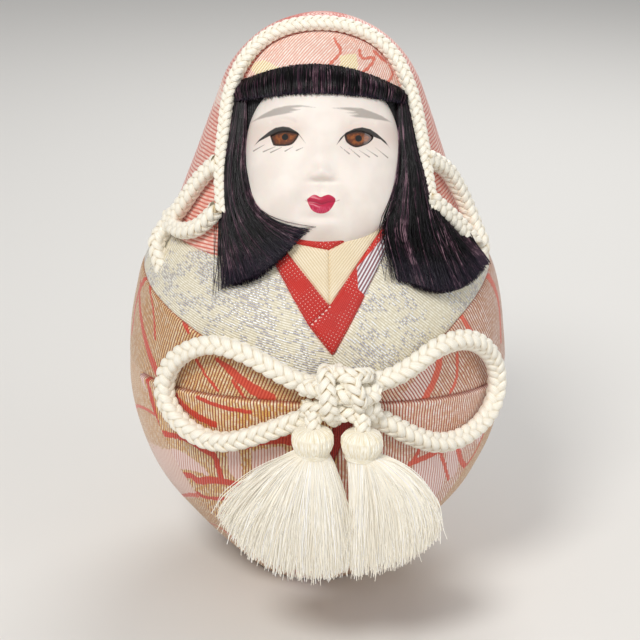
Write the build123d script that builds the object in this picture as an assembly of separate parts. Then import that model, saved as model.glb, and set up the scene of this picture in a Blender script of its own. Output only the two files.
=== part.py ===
"""Hime daruma, a roly-poly princess doll.

A pressed-paper core with a weighted bottom is covered with cloth panels, and carries a face mask,
hair, a hood edged with braided cord, and a bow of braided cord with two swinging tassels.
Millimetres, +Z up. The origin is the middle of the base, and the doll faces -Y.
"""

import os
from math import acos, asin, atan2, cos, degrees, hypot, pi, radians, sin, tan

from build123d import *

# ---- Driving dimensions -----------------------------------------------------------------------
HEIGHT = 200.0
BELLY_R, BELLY_Z = 66.5, 76.0  # widest ring of the body
DOME_R = 35.8  # the top of the head
CHEST_R, CHEST_TURN = 140.0, 13.2  # arc above the belly, and the slope where it ends
SHOULDER_R, SHOULDER_TURN = 36.0, 38.0
NECK_R = 50.0  # hollow between shoulder and head
LOWER_R, LOWER_TURN = 74.0, -36.5  # arc below the belly
BASE_R = 250.0  # nearly straight run down to the base

CLOTH = 1.2  # every cloth panel
PAPER = 4.0  # wall of the core
ROBE_PROUD = 0.4  # the lower robe is padded over the sleeves
COLLAR_PROUD = 0.8
CORE_BOTTOM = 2.0
CLOTH_BOTTOM = 0.5
PLUG_TOP = 6.0
BALLAST_TOP = 24.0
COVER_R = 21.0

HOOD_EDGE_Z = 128.0  # the hood's lower edge, and the top of the robe
FRONT_BACK_Y = 8.0  # the front panels reach this far behind the widest line
REACH = 100.0  # longer than the body is deep

FACE_R = 27.5  # the face is the front of a ball that stands proud of the head
FACE_PROUD = 5.0  # how far the cheeks stand out of the head
FACE_X, FACE_Z = 0.8, 156.0
FACE_BACK = 4.0  # the mask's flat back, measured along the face's own normal
FIT = 0.25
EYE_X, EYE_UP = 13.2, 11.0
EYE_WIDE, EYE_TALL, EYE_DEEP, EYE_SUNK = 4.6, 2.9, 2.2, 0.4

HOOD_CORD_D, SIDE_CORD_D, BOW_CORD_D = 5.0, 6.0, 7.0
CORD_GAP = 0.7  # between the skin and a cord that lies on it
BOW_GAP = 1.4

KNOT = (18.0, 13.0, 15.4)
KNOT_AT = (8.0, -74.0, 94.6)
KNOT_BEVEL = 3.5
PIN_D, PIN_X, PIN_Z = 1.2, 11.0, 95.0
PIN_FROM_Y, PIN_TO_Y = -73.0, -56.0

TASSEL_Y = -79.0
BEAD_R, BEAD_GAP = 2.2, 0.3  # the knotted cord end that a tassel's head turns on
HEAD_R, HEAD_HALF, HEAD_DROP = 6.3, 5.6, 6.2
BINDING_R, BINDING_TALL = 5.7, 1.6
SKIRT_TOP_R, SKIRT_DEEP = 5.3, 5.0
# side: bead x and z, the skirt's left and right edge at the bottom, and its bottom z
TASSELS = {
    "left": (-1.0, 85.4, -31.0, 12.0, 34.0),
    "right": (14.5, 84.8, 13.0, 40.0, 36.0),
}

# ---- Cord routes, chosen by hand: near the skin, and seated on it by `seat` ---------------------
HOOD_CORD = [
    (-31, -38, 142), (-32, -33, 151), (-32, -29, 159), (-31, -25, 168), (-30, -21, 176),
    (-27, -18, 185), (-21, -15, 193), (-12, -14, 198), (-2, -15, 200), (8, -15, 200),
    (17, -15, 196), (24, -17, 190), (28, -20, 183), (31, -22, 175), (32, -24, 167),
    (34, -27, 159), (35, -30, 151), (37, -33, 143),
]
SIDE_TAIL_LEFT = [
    (-33, -30, 157), (-39, -27, 152), (-43, -24, 144), (-48, -21, 136), (-53, -17, 129),
    (-56, -20, 124), (-57, -27, 118),
]
SIDE_LOOP_LEFT = [
    (-33, -37, 143), (-38, -36, 137), (-44, -31, 133), (-50, -23, 132), (-52, -17, 135),
]
SIDE_TAIL_RIGHT = [
    (35, -28, 159), (41, -21, 155), (46, -16, 147), (50, -13, 138), (53, -14, 130),
    (56, -18, 124), (57, -24, 119),
]
SIDE_LOOP_RIGHT = [
    (36, -33, 147), (41, -30, 142), (47, -25, 136), (52, -22, 128),
]
BOW_LEFT = [
    (2, -69, 95), (-6, -69, 96), (-14, -67, 100), (-23, -64, 104), (-34, -59, 105), (-44, -53, 99),
    (-50, -50, 90), (-49, -50, 80), (-41, -57, 73), (-30, -63, 72), (-19, -67, 77), (-9, -69, 82),
    (2, -70, 87),
]
BOW_RIGHT = [
    (14, -69, 95), (22, -66, 96), (30, -62, 99), (38, -56, 104), (48, -48, 104), (56, -40, 97),
    (61, -36, 86), (59, -39, 75), (51, -48, 70), (40, -57, 70), (30, -63, 76), (21, -67, 83),
    (13, -69, 87),
]


# ---- The skin: one profile of tangent arcs, offset inwards or outwards -------------------------
def normal(angle):
    """Unit vector (r, z) of the skin's outward normal at `angle` degrees above the horizon."""
    return cos(radians(angle)), sin(radians(angle))


def step(start, length, angle):
    """The (r, z) point that lies `length` from start along the normal at `angle`."""
    r, z = normal(angle)
    return start[0] + length * r, start[1] + length * z


CHEST_C = (BELLY_R - CHEST_R, BELLY_Z)
SHOULDER_C = step(CHEST_C, CHEST_R - SHOULDER_R, CHEST_TURN)
NECK_C = step(SHOULDER_C, SHOULDER_R + NECK_R, SHOULDER_TURN)
DOME_C = (0.0, HEIGHT - DOME_R)
NECK_TO_DOME = (NECK_C[0] - DOME_C[0], NECK_C[1] - DOME_C[1])
HEAD_TURN = degrees(atan2(NECK_TO_DOME[1], NECK_TO_DOME[0])) + degrees(
    acos((NECK_R + DOME_R) / hypot(*NECK_TO_DOME))
)
LOWER_C = (BELLY_R - LOWER_R, BELLY_Z)
BASE_C = step(LOWER_C, LOWER_R - BASE_R, LOWER_TURN)
BASE_TURN = degrees(asin(-BASE_C[1] / BASE_R))

# centre, signed radius (negative where the skin is hollow), first and last normal
ARCS = [
    (BASE_C, BASE_R, BASE_TURN, LOWER_TURN),
    (LOWER_C, LOWER_R, LOWER_TURN, 0.0),
    (CHEST_C, CHEST_R, 0.0, CHEST_TURN),
    (SHOULDER_C, SHOULDER_R, CHEST_TURN, SHOULDER_TURN),
    (NECK_C, -NECK_R, SHOULDER_TURN, HEAD_TURN),
    (DOME_C, DOME_R, HEAD_TURN, 90.0),
]


def skin_solid(offset, bottom):
    """The solid inside the skin moved outwards by `offset`, cut off level at z = bottom."""
    edges = []
    end = None
    for centre, radius, first, last in ARCS:
        if end is None:
            first = degrees(asin((bottom - centre[1]) / (radius + offset)))
            start = step(centre, radius + offset, first)
            edges.append(Line((0, bottom), start))
        else:
            start = step(centre, radius + offset, first)
            if hypot(start[0] - end[0], start[1] - end[1]) > 1e-6:
                edges.append(Line(end, start))
        middle = step(centre, radius + offset, (first + last) / 2)
        end = step(centre, radius + offset, last)
        if last == 90.0:
            end = (0.0, end[1])
        edges.append(ThreePointArc(start, middle, end))
    edges.append(Line(end, (0, bottom)))
    return revolve(Plane.XZ * make_face(edges), Axis.Z, 360)


def seat(point, lift):
    """The point moved along the skin's normal until it lies `lift` outside the skin."""
    x, y, z = point
    r = hypot(x, y)
    best = None
    for centre, radius, first, last in ARCS:
        sign = 1 if radius > 0 else -1
        angle = degrees(atan2(sign * (z - centre[1]), sign * (r - centre[0])))
        angle = min(max(angle, min(first, last)), max(first, last))
        foot = step(centre, radius, angle)
        away = hypot(r - foot[0], z - foot[1])
        if best is None or away < best[0]:
            best = (away, foot, angle)
    start = step(NECK_C, -NECK_R, HEAD_TURN)
    end = step(DOME_C, DOME_R, HEAD_TURN)
    length = hypot(end[0] - start[0], end[1] - start[1])
    along = ((r - start[0]) * (end[0] - start[0]) + (z - start[1]) * (end[1] - start[1])) / length
    if 0 < along < length:
        share = along / length
        foot = (start[0] + (end[0] - start[0]) * share, start[1] + (end[1] - start[1]) * share)
        away = hypot(r - foot[0], z - foot[1])
        if away < best[0]:
            best = (away, foot, HEAD_TURN)
    seated = step(best[1], lift, best[2])
    return x * seated[0] / r, y * seated[0] / r, seated[1]


def front_prism(outline, back=FRONT_BACK_Y):
    """A cutter over an outline of edges in x and z, from y = back to in front of the doll."""
    face = Plane.XZ * make_face(outline)
    return Pos(0, back, 0) * extrude(face, REACH + back)


def ring(*points):
    """Straight edges that join the (x, z) points into a closed outline."""
    return Polyline(*points, close=True).edges()


# ---- Outlines on the front, in x and z ----------------------------------------------------------
FAR = 75.0
FOLD = [(-FAR, 78.5), (3.0, 87.5), (FAR, 77.0)]  # top edge of the lower robe: start, middle, end
APEX = (5.0, 103.0)  # where the red collars cross at the bottom
SEAM = (7.0, 87.45)  # where the chest panels run under the robe
CHEST_LEFT = (-FAR, 118.5)
CHEST_RIGHT = [(46.0, 108.0), (FAR, 126.0)]
NECK_LINE = [(-31.0, HOOD_EDGE_Z), (-12.0, 132.0), (4.0, 138.0), (24.0, 142.0), (44.0, HOOD_EDGE_Z)]
V_LEFT_OUT, V_LEFT_IN = (-15.5, 131.0), (-10.5, 132.0)
V_CROSS = (4.0, 117.5)
V_RIGHT_IN, V_RIGHT_OUT = (21.2, 141.0), (25.5, 140.5)
UNDER_LEFT, UNDER_LOW, UNDER_RIGHT = (-8.0, 135.0), (3.3, 133.6), (20.0, 141.0)
COLLAR_LEFT_END = (-2.6, 112.1)
UNDER_TOP_Z = 142.0
HEM_RISE, HEM_Z, HEM_REACH, HEM_STEP = 0.0195, 5.0, 60, 15  # the hem's parabola
SLIT = [(5.5, 80.0), (9.0, 88.6), (11.5, 80.0), (4.0, 62.0)]
HOOD_ARC = [(-33.0, 167.0), (0.5, 201.0), (34.0, 167.0)]
HOOD_ARC_Y = -14.0  # the hood's front edge on the crown
BANGS_TOP = [(-36.0, 170.0), (0.0, 188.5), (36.0, 170.0)]
BANGS_CREST = [(-26.5, 179.0), (0.0, 188.5), (26.5, 178.5)]
BANGS_BOTTOM = [(-24.0, 175.5), (0.0, 180.0), (25.0, 175.0)]
LOCK_LEFT = [
    (-29.5, 173.0), (-30.0, 146.0), (-28.5, 132.0), (-27.0, 120.0), (-4.5, 130.0), (-15.0, 141.0),
    (-20.0, 149.0), (-23.0, 173.0),
]
LOCK_RIGHT = [
    (24.0, 173.0), (24.0, 146.0), (24.0, 135.0), (29.0, 120.0), (46.0, 118.0), (56.0, 122.0),
    (44.0, 132.0), (35.0, 145.0), (31.0, 160.0), (29.5, 173.0),
]
CAP_LIFT, LOCK_LIFT = 3.2, 4.6  # the hair's thickness over the head and over the chest


def hem_points():
    return [(x, HEM_Z + HEM_RISE * x * x) for x in range(-HEM_REACH, HEM_REACH + 1, HEM_STEP)]


def robe_outline():
    """Outline between the fold line and the hem's curve."""
    hem = hem_points()
    return [
        ThreePointArc(*FOLD),
        *Polyline(FOLD[2], *reversed(hem), FOLD[0]).edges(),
    ]


def below_hem_outline():
    """Outline of everything under the hem's curve."""
    hem = hem_points()
    return ring(*hem, FOLD[2], (FAR, -1.0), (-FAR, -1.0), FOLD[0])


def hood_opening():
    """Outline of the opening in the hood, along the hood's cord."""
    return [
        ThreePointArc(*HOOD_ARC),
        *Polyline(HOOD_ARC[2], (36, 151), (40, HOOD_EDGE_Z), (-33, HOOD_EDGE_Z), HOOD_ARC[0]).edges(),
    ]


# ---- Core and base ------------------------------------------------------------------------------
def face_axes():
    """The face's middle, its own normal and its own upward direction."""
    n = normal(HEAD_TURN)
    head_start = step(DOME_C, DOME_R, HEAD_TURN)
    radius = head_start[0] + (head_start[1] - FACE_Z) * tan(radians(HEAD_TURN))
    r, z = step((radius, FACE_Z), FACE_PROUD - FACE_R, HEAD_TURN)
    return Vector(FACE_X, -r, z), Vector(0, -n[0], n[1]), Vector(0, n[1], n[0])


FACE_C, FACE_N, FACE_UP = face_axes()


def face_ball(grow, back):
    """The face's ball, grown by `grow` and cut flat at `back` along the face's normal."""
    ball = Pos(*FACE_C) * Sphere(FACE_R + grow)
    keep = extrude(Plane(origin=FACE_C + FACE_N * back, z_dir=FACE_N) * Rectangle(REACH, REACH), REACH)
    return ball & keep


def largest(shape):
    """The biggest solid, without the offcuts that a slanted cut leaves at a corner."""
    return max(shape.solids(), key=lambda solid: solid.volume)


def half_space(sign):
    """Everything in front of (-1) or behind (+1) the core's side seam."""
    return Pos(0, sign * REACH, HEIGHT / 2) * Box(4 * REACH, 2 * REACH, 2 * HEIGHT)


def level_slab(low, high):
    return Pos(0, 0, (low + high) / 2) * Box(4 * REACH, 4 * REACH, high - low)


def core_shells(inner):
    """The pressed-paper halves, glued at the side seam; the front one has a cup for the face."""
    wall = skin_solid(-CLOTH, CORE_BOTTOM) - inner
    front = wall & half_space(-1)
    back = wall & half_space(1)
    cup = face_ball(PAPER, FACE_BACK - PAPER) & inner
    front = (front + cup) - face_ball(FIT, FACE_BACK - FIT)
    return front, back


def eye_column(side, deep, high):
    """An oval column across the eye, from `deep` to `high` along the ball's own radius there."""
    forward = (FACE_R**2 - EYE_X**2 - EYE_UP**2) ** 0.5
    out = Vector(side * EYE_X, 0, 0) + FACE_UP * EYE_UP + FACE_N * forward
    origin = FACE_C + out.normalized() * (FACE_R + deep)
    plane = Plane(origin=origin, x_dir=out.cross(FACE_UP), z_dir=out)
    return extrude(plane * Ellipse(EYE_WIDE, EYE_TALL), high - deep)


def face_and_eyes():
    mask = face_ball(0, FACE_BACK)
    eyes = []
    for side in (-1, 1):
        mask = mask - eye_column(side, -EYE_SUNK - EYE_DEEP, EYE_SUNK + EYE_DEEP)
        eyes.append(eye_column(side, -EYE_SUNK - EYE_DEEP, -EYE_SUNK))
    return mask, eyes[0], eyes[1]


# ---- Cloth panels -------------------------------------------------------------------------------
def collar_prisms():
    """The four collar outlines inside the chest's opening, and the red band below the chin."""
    red_right = ring(V_RIGHT_OUT, APEX, COLLAR_LEFT_END, V_CROSS, V_RIGHT_IN)
    red_left = ring(V_LEFT_OUT, COLLAR_LEFT_END, V_CROSS, V_LEFT_IN)
    cream_left = ring(V_LEFT_IN, V_CROSS, UNDER_LOW, UNDER_LEFT)
    cream_right = ring(V_CROSS, V_RIGHT_IN, UNDER_RIGHT, UNDER_LOW)
    under = ring(UNDER_LEFT, UNDER_LOW, UNDER_RIGHT, (UNDER_LOW[0], UNDER_TOP_Z))
    return {
        "red_collar_right": front_prism(red_right),
        "red_collar_left": front_prism(red_left),
        "inner_collar_left": front_prism(cream_left),
        "inner_collar_right": front_prism(cream_right),
        "under_collar": front_prism(under),
    }


def front_panels(layer, core):
    """Cloth panels of the front, cut from the layer by priority so that neighbours only touch."""
    panels = {}
    face_room = face_ball(FIT, FACE_BACK - FIT)
    below_neck = front_prism(
        ring(*NECK_LINE, (FAR, HOOD_EDGE_Z), (FAR, 0), (-FAR, 0), (-FAR, HOOD_EDGE_Z))
    )
    robe = front_prism(robe_outline())
    slit = front_prism(ring(*SLIT))
    collars = collar_prisms()

    padded = skin_solid(ROBE_PROUD, CLOTH_BOTTOM) - core
    lower = (padded & robe) - slit
    seam_side = front_prism(ring(SEAM, (SEAM[0], 120.0), (-FAR, 120.0), (-FAR, 0.0), (SEAM[0], 0.0)))
    panels["robe_front_left"] = lower & seam_side
    panels["robe_front_right"] = lower - seam_side
    panels["robe_lining"] = layer & slit & robe

    upper = (layer & below_neck) - robe - level_slab(0, FOLD[0][1] - 1)
    proud = skin_solid(COLLAR_PROUD, CLOTH_BOTTOM) - core
    rest = upper
    for name, prism in collars.items():
        source = proud if name.startswith("red") else layer
        panels[name] = (source & prism & below_neck) - face_room
        rest = rest - prism
    chest_low_left = ring(CHEST_LEFT, SEAM, (SEAM[0], 60.0), (-FAR, 60.0))
    chest_low_right = ring(SEAM, (27.0, 94.0), *CHEST_RIGHT, (FAR, 60.0), (SEAM[0], 60.0))
    sleeve_left = front_prism(chest_low_left)
    sleeve_right = front_prism(chest_low_right)
    panels["sleeve_left"] = rest & sleeve_left
    panels["sleeve_right"] = rest & sleeve_right
    chest = rest - sleeve_left - sleeve_right
    chest_side = front_prism(
        ring(SEAM, APEX, (APEX[0], 160.0), (-FAR, 160.0), (-FAR, 60.0), (SEAM[0], 60.0))
    )
    panels["chest_panel_left"] = (chest & chest_side) - face_room
    panels["chest_panel_right"] = (chest - chest_side) - face_room
    return panels, below_neck


def head_panels(layer):
    """Hood, forehead band and the black cap that the hair is glued to."""
    face_room = face_ball(FIT, FACE_BACK - FIT)
    head = layer & level_slab(HOOD_EDGE_Z, HEIGHT + 1)
    opening = front_prism(hood_opening(), HOOD_ARC_Y)
    brow_sides = Polyline(
        BANGS_TOP[2], (FAR, 170.0), (FAR, 210.0), (-FAR, 210.0), (-FAR, 170.0), BANGS_TOP[0]
    )
    brow = front_prism([ThreePointArc(*BANGS_TOP), *brow_sides.edges()])
    below = front_prism(ring(*NECK_LINE, (44.0, 100.0), (-31.0, 100.0)))
    return {
        "hood": head - opening - below,
        "forehead_band": (head & opening & brow) - face_room,
        "hair_cap": (head & opening) - brow - below - face_room,
    }


# ---- Hair ---------------------------------------------------------------------------------------
def hair():
    """Bangs over the forehead and a lock at each cheek, flaring at its cut end."""
    face_room = face_ball(FIT, FACE_BACK - FIT)
    over_cap = skin_solid(CAP_LIFT, CLOTH_BOTTOM) - skin_solid(FIT, CLOTH_BOTTOM)
    over_chest = skin_solid(LOCK_LIFT, CLOTH_BOTTOM) - skin_solid(COLLAR_PROUD + FIT, CLOTH_BOTTOM)
    bangs = [
        ThreePointArc(*BANGS_CREST),
        Line(BANGS_CREST[2], BANGS_BOTTOM[2]),
        ThreePointArc(*reversed(BANGS_BOTTOM)),
        Line(BANGS_BOTTOM[0], BANGS_CREST[0]),
    ]
    return {
        "hair_bangs": (over_cap & front_prism(bangs)) - face_room,
        "hair_lock_left": (over_chest & front_prism(ring(*LOCK_LEFT))) - face_room,
        "hair_lock_right": (over_chest & front_prism(ring(*LOCK_RIGHT))) - face_room,
    }


# ---- Cords --------------------------------------------------------------------------------------
def cord_path(name, points):
    """Straight runs joined by tangent arcs, each as large as its two runs allow."""
    vectors = [Vector(*p) for p in points]
    radii = []
    for before, here, after in zip(vectors, vectors[1:], vectors[2:]):
        turn = (here - before).get_angle(after - here)
        shorter = min((here - before).length, (after - here).length)
        radii.append(0.45 * shorter / tan(radians(turn / 2)))
    path = FilletPolyline(*vectors, radius=radii)
    print(name, "radii", [round(r) for r in radii], "length", round(path.length, 1))
    return path


def cord(name, route, diameter, gap):
    """A round cord that lies on the skin along the hand-chosen route."""
    lift = diameter / 2 + gap
    path = cord_path(name, [seat(p, lift) for p in route])
    section = Plane(origin=path @ 0, z_dir=path % 0) * Circle(diameter / 2)
    tube = sweep(section, path=path)
    expected = path.length * pi * diameter**2 / 4
    print(name, "volume over section times length", round(tube.volume / expected, 4))
    return tube


def side_loop(side, tail, loop, hood_cord):
    """The cord that leaves the hood's cord at the temple, loops and runs down to the shoulder."""
    both = cord(f"side tail {side}", tail, SIDE_CORD_D, CORD_GAP)
    both = both + cord(f"side loop {side}", loop, SIDE_CORD_D, CORD_GAP)
    return both - hood_cord


# ---- Bow and tassels ----------------------------------------------------------------------------
def bow_knot():
    block = Box(*KNOT)
    return Pos(*KNOT_AT) * chamfer(block.edges(), KNOT_BEVEL)


def anchor_pin():
    """The steel pin that holds the knot to the body."""
    length = PIN_TO_Y - PIN_FROM_Y
    middle = Pos(PIN_X, (PIN_TO_Y + PIN_FROM_Y) / 2, PIN_Z)
    return middle * Rot(90, 0, 0) * Cylinder(PIN_D / 2, length)


def tassel(side):
    """The four pieces of one tassel, hanging straight down from its bead."""
    x, z, left, right, bottom = TASSELS[side]
    bead_at = Pos(x, TASSEL_Y, z)
    head_z = z - HEAD_DROP
    binding_z = head_z - HEAD_HALF * 0.75
    half = Ellipse(HEAD_R, HEAD_HALF) & Pos(HEAD_R, 0) * Rectangle(2 * HEAD_R, 4 * HEAD_R)
    full_head = Pos(x, TASSEL_Y, head_z) * revolve(Plane.XZ * half, Axis.Z, 360)
    head = full_head & level_slab(binding_z + BINDING_TALL / 2, HEIGHT)
    head = head - bead_at * Sphere(BEAD_R + BEAD_GAP)
    binding = Pos(x, TASSEL_Y, binding_z) * Cylinder(BINDING_R, BINDING_TALL)
    skirt_top = binding_z - BINDING_TALL / 2
    flare_z = skirt_top - 0.4 * (skirt_top - bottom)
    lean = (left + right) / 2 - x
    wide = (right - left) / 2
    flare = SKIRT_TOP_R + 0.68 * (wide - SKIRT_TOP_R)
    sections = [
        Pos(x, TASSEL_Y, skirt_top) * Circle(SKIRT_TOP_R),
        Pos(x + lean * 0.75, TASSEL_Y, flare_z) * Ellipse(flare, SKIRT_DEEP),
        Pos(x + lean, TASSEL_Y, bottom) * Ellipse(wide, SKIRT_DEEP),
    ]
    return {
        f"tassel_{side}_bead": bead_at * Sphere(BEAD_R),
        f"tassel_{side}_head": head,
        f"tassel_{side}_binding": binding,
        f"tassel_{side}_skirt": loft(sections, ruled=True),
    }


# ---- The whole doll -----------------------------------------------------------------------------
def build():
    nodes = {}
    inner = skin_solid(-CLOTH - PAPER, CORE_BOTTOM)
    core = skin_solid(-CLOTH, CLOTH_BOTTOM)
    layer = skin_solid(0, CLOTH_BOTTOM) - core

    nodes["core_front_shell"], nodes["core_back_shell"] = core_shells(inner)
    nodes["base_plug"] = inner & level_slab(CORE_BOTTOM, PLUG_TOP)
    ballast_room = skin_solid(-CLOTH - PAPER - FIT, PLUG_TOP)
    nodes["ballast_weight"] = ballast_room & level_slab(PLUG_TOP, BALLAST_TOP)
    nodes["base_cover"] = Pos(0, 0, CORE_BOTTOM / 2) * Cylinder(COVER_R, CORE_BOTTOM)
    nodes["face_mask"], nodes["eye_left"], nodes["eye_right"] = face_and_eyes()

    panels, below_neck = front_panels(layer, core)
    panels.update(head_panels(layer))
    nodes.update({name: largest(panel) for name, panel in panels.items()})
    taken = below_neck - front_prism(below_hem_outline())
    nodes["robe_back"] = (layer & level_slab(0, HOOD_EDGE_Z)) - taken
    nodes.update(hair())

    nodes["hood_cord"] = cord("hood cord", HOOD_CORD, HOOD_CORD_D, CORD_GAP)
    hood_cord = nodes["hood_cord"]
    nodes["side_loop_left"] = side_loop("left", SIDE_TAIL_LEFT, SIDE_LOOP_LEFT, hood_cord)
    nodes["side_loop_right"] = side_loop("right", SIDE_TAIL_RIGHT, SIDE_LOOP_RIGHT, hood_cord)
    for side in ("left", "right"):
        nodes[f"hair_lock_{side}"] = nodes[f"hair_lock_{side}"] - nodes[f"side_loop_{side}"] - hood_cord

    pin = anchor_pin()
    knot = bow_knot()
    nodes["bow_anchor_pin"] = pin
    nodes["bow_loop_left"] = cord("bow left", BOW_LEFT, BOW_CORD_D, BOW_GAP) - knot
    nodes["bow_loop_right"] = cord("bow right", BOW_RIGHT, BOW_CORD_D, BOW_GAP) - knot
    nodes["bow_knot"] = knot - pin
    for name in ("chest_panel_right", "core_front_shell"):
        nodes[name] = nodes[name] - pin
    for side in TASSELS:
        nodes.update(tassel(side))
    return nodes


os.makedirs("parts", exist_ok=True)
for node, shape in build().items():
    export_step(shape, f"parts/{node}.step")
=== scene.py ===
"""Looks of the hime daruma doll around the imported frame: cloth, face, hair, braided cords and tassels.

Lengths in the modelling functions are millimetres in the row frame; meshes are written in metres.
"""

import math

import bmesh
import bpy
import numpy as np
from mathutils import Matrix, Vector


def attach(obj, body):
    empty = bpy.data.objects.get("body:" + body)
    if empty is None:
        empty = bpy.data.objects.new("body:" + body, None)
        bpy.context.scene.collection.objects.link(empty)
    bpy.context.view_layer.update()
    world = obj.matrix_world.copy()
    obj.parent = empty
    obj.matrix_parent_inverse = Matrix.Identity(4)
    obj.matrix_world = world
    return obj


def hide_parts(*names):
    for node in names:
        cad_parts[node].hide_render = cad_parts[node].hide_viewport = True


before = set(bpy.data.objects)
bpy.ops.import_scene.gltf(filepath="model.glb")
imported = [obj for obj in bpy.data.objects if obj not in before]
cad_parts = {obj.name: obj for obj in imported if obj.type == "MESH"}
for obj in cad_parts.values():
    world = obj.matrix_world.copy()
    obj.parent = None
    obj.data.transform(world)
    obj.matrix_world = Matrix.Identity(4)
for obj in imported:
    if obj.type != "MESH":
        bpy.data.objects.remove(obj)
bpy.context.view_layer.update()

MM = 0.001
TAU = 2 * math.pi


# ---- Mesh helpers ----
def mesh_object(name, points, faces, marks=None):
    """A mesh piece from points in millimetres; marks are named numbers stored on its points."""
    mesh = bpy.data.meshes.new(name)
    faces = np.asarray(faces, np.int32)
    size = faces.shape[1]
    points = np.asarray(points, np.float32) * MM
    mesh.vertices.add(len(points))
    mesh.vertices.foreach_set("co", points.ravel())
    mesh.loops.add(faces.size)
    mesh.loops.foreach_set("vertex_index", faces.ravel())
    mesh.polygons.add(len(faces))
    mesh.polygons.foreach_set("loop_start", np.arange(0, faces.size, size, dtype=np.int32))
    mesh.update(calc_edges=True)
    mesh.validate()
    mesh.polygons.foreach_set("use_smooth", np.full(len(mesh.polygons), True))
    for key, values in (marks or {}).items():
        layer = mesh.attributes.new(key, "FLOAT", "POINT")
        layer.data.foreach_set("value", np.asarray(values, np.float32).ravel())
    obj = bpy.data.objects.new(name, mesh)
    bpy.context.scene.collection.objects.link(obj)
    return obj


def place(obj, material, body, slot, *nodes):
    """Gives a piece its material and body, and hides the CAD nodes that it stands for; the finish slot is not
    used.
    """
    obj.data.materials.append(material)
    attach(obj, body)
    if nodes:
        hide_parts(*nodes)
    return obj


def closed_quads(index, flip=False):
    """Quads between the rows of an array of point numbers; each row closes on itself."""
    a, b = index[..., :-1, :], index[..., 1:, :]
    corners = [a, np.roll(a, -1, -1), np.roll(b, -1, -1), b]
    return np.stack(corners[:1] + corners[:0:-1] if flip else corners, -1).reshape(-1, 4)


def numbered(*shape):
    """An array of that shape that holds 0, 1, 2 and so on."""
    return np.arange(math.prod(shape)).reshape(shape)


def circle(count):
    """Angles evenly spaced round a circle."""
    return np.linspace(0, TAU, count, endpoint=False)


def unit(vectors):
    """The vectors at length 1."""
    return vectors / np.maximum(np.linalg.norm(vectors, axis=-1, keepdims=True), 1e-9)


def smooth_step(value, low, high):
    t = np.clip((value - low) / (high - low), 0, 1)
    return t * t * (3 - 2 * t)


def along_line(where, marks, points):
    """Points at some distances along a line whose own points are at the distances in `marks`."""
    return np.stack([np.interp(where, marks, column) for column in points.T], -1)


def spline(points, steps=8):
    """Points of a smooth line through the given ones."""
    p = np.asarray(points, float)
    p = np.vstack([2 * p[0] - p[1], p, 2 * p[-1] - p[-2]])
    out = []
    for a, b, c, d in zip(p, p[1:], p[2:], p[3:]):
        for t in np.arange(steps) / steps:
            cubic = (3 * b - a - 3 * c + d) * t**3
            out.append(0.5 * (2 * b + (c - a) * t + (2 * a - 5 * b + 4 * c - d) * t**2 + cubic))
    out.append(p[-2])
    return np.array(out)


def closed_spline(points):
    return spline([*points, points[0]], 4)[:-1]


def ripple(x, y, z, seed, scale):
    """Smooth seeded unevenness between about -1 and 1, from a few crossed waves."""
    rng = np.random.default_rng(seed)
    total = 0
    for _ in range(7):
        direction = unit(rng.normal(size=3)) * TAU / scale * rng.uniform(0.6, 1.7)
        total = total + np.sin(direction[0] * x + direction[1] * y + direction[2] * z + rng.uniform(0, TAU))
    return total / 3.5


# ---- The skin of the body, the same arcs as the CAD model ----
def normal(angle):
    a = math.radians(angle)
    return np.array([math.cos(a), math.sin(a)])


HEIGHT = 200.0
BELLY = np.array([66.5, 76.0])
DOME_R, CHEST_R, SHOULDER_R, NECK_R, LOWER_R, BASE_R = 35.8, 140.0, 36.0, 50.0, 74.0, 250.0
CHEST_TURN, SHOULDER_TURN, LOWER_TURN = 13.2, 38.0, -36.5
CHEST_C = BELLY - CHEST_R * normal(0)
SHOULDER_C = CHEST_C + (CHEST_R - SHOULDER_R) * normal(CHEST_TURN)
NECK_C = SHOULDER_C + (SHOULDER_R + NECK_R) * normal(SHOULDER_TURN)
DOME_C = np.array([0.0, HEIGHT - DOME_R])
TO_DOME = NECK_C - DOME_C
HEAD = math.atan2(TO_DOME[1], TO_DOME[0]) + math.acos((NECK_R + DOME_R) / math.hypot(*TO_DOME))
HEAD_TURN = math.degrees(HEAD)
LOWER_C = BELLY - LOWER_R * normal(0)
BASE_C = LOWER_C + (LOWER_R - BASE_R) * normal(LOWER_TURN)
BASE_TURN = math.degrees(math.asin(-BASE_C[1] / BASE_R))
ARCS = [
    (BASE_C, BASE_R, BASE_TURN, LOWER_TURN),
    (LOWER_C, LOWER_R, LOWER_TURN, 0.0),
    (CHEST_C, CHEST_R, 0.0, CHEST_TURN),
    (SHOULDER_C, SHOULDER_R, CHEST_TURN, SHOULDER_TURN),
    (NECK_C, -NECK_R, SHOULDER_TURN, HEAD_TURN),
    (DOME_C, DOME_R, HEAD_TURN, 90.0),
]


def skin_profile():
    """Radius, height and slope angle of the skin from the base to the crown."""
    rows = []
    for centre, radius, first, last in ARCS:
        steps = max(int(abs(radius * math.radians(last - first)) / 0.3), 12)
        for angle in np.linspace(first, last, steps):
            rows.append([*(centre + radius * normal(angle)), angle])
    return np.array(rows)


def evened(profile, gap=0.2):
    """The profile with its points evenly spaced, along its straight run at the temples too."""
    run = np.concatenate([[0], np.cumsum(np.maximum(np.hypot(*np.diff(profile[:, :2], axis=0).T), 1e-6))])
    where = np.linspace(0, run[-1], int(run[-1] / gap))
    return where, along_line(where, run, profile)


RUN, PROFILE = evened(skin_profile())


def skin_at(height):
    """Radius and slope angle in radians of the skin at a height."""
    radius, angle = (np.interp(height, PROFILE[:, 1], PROFILE[:, i]) for i in (0, 2))
    return radius, np.radians(angle)


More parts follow.
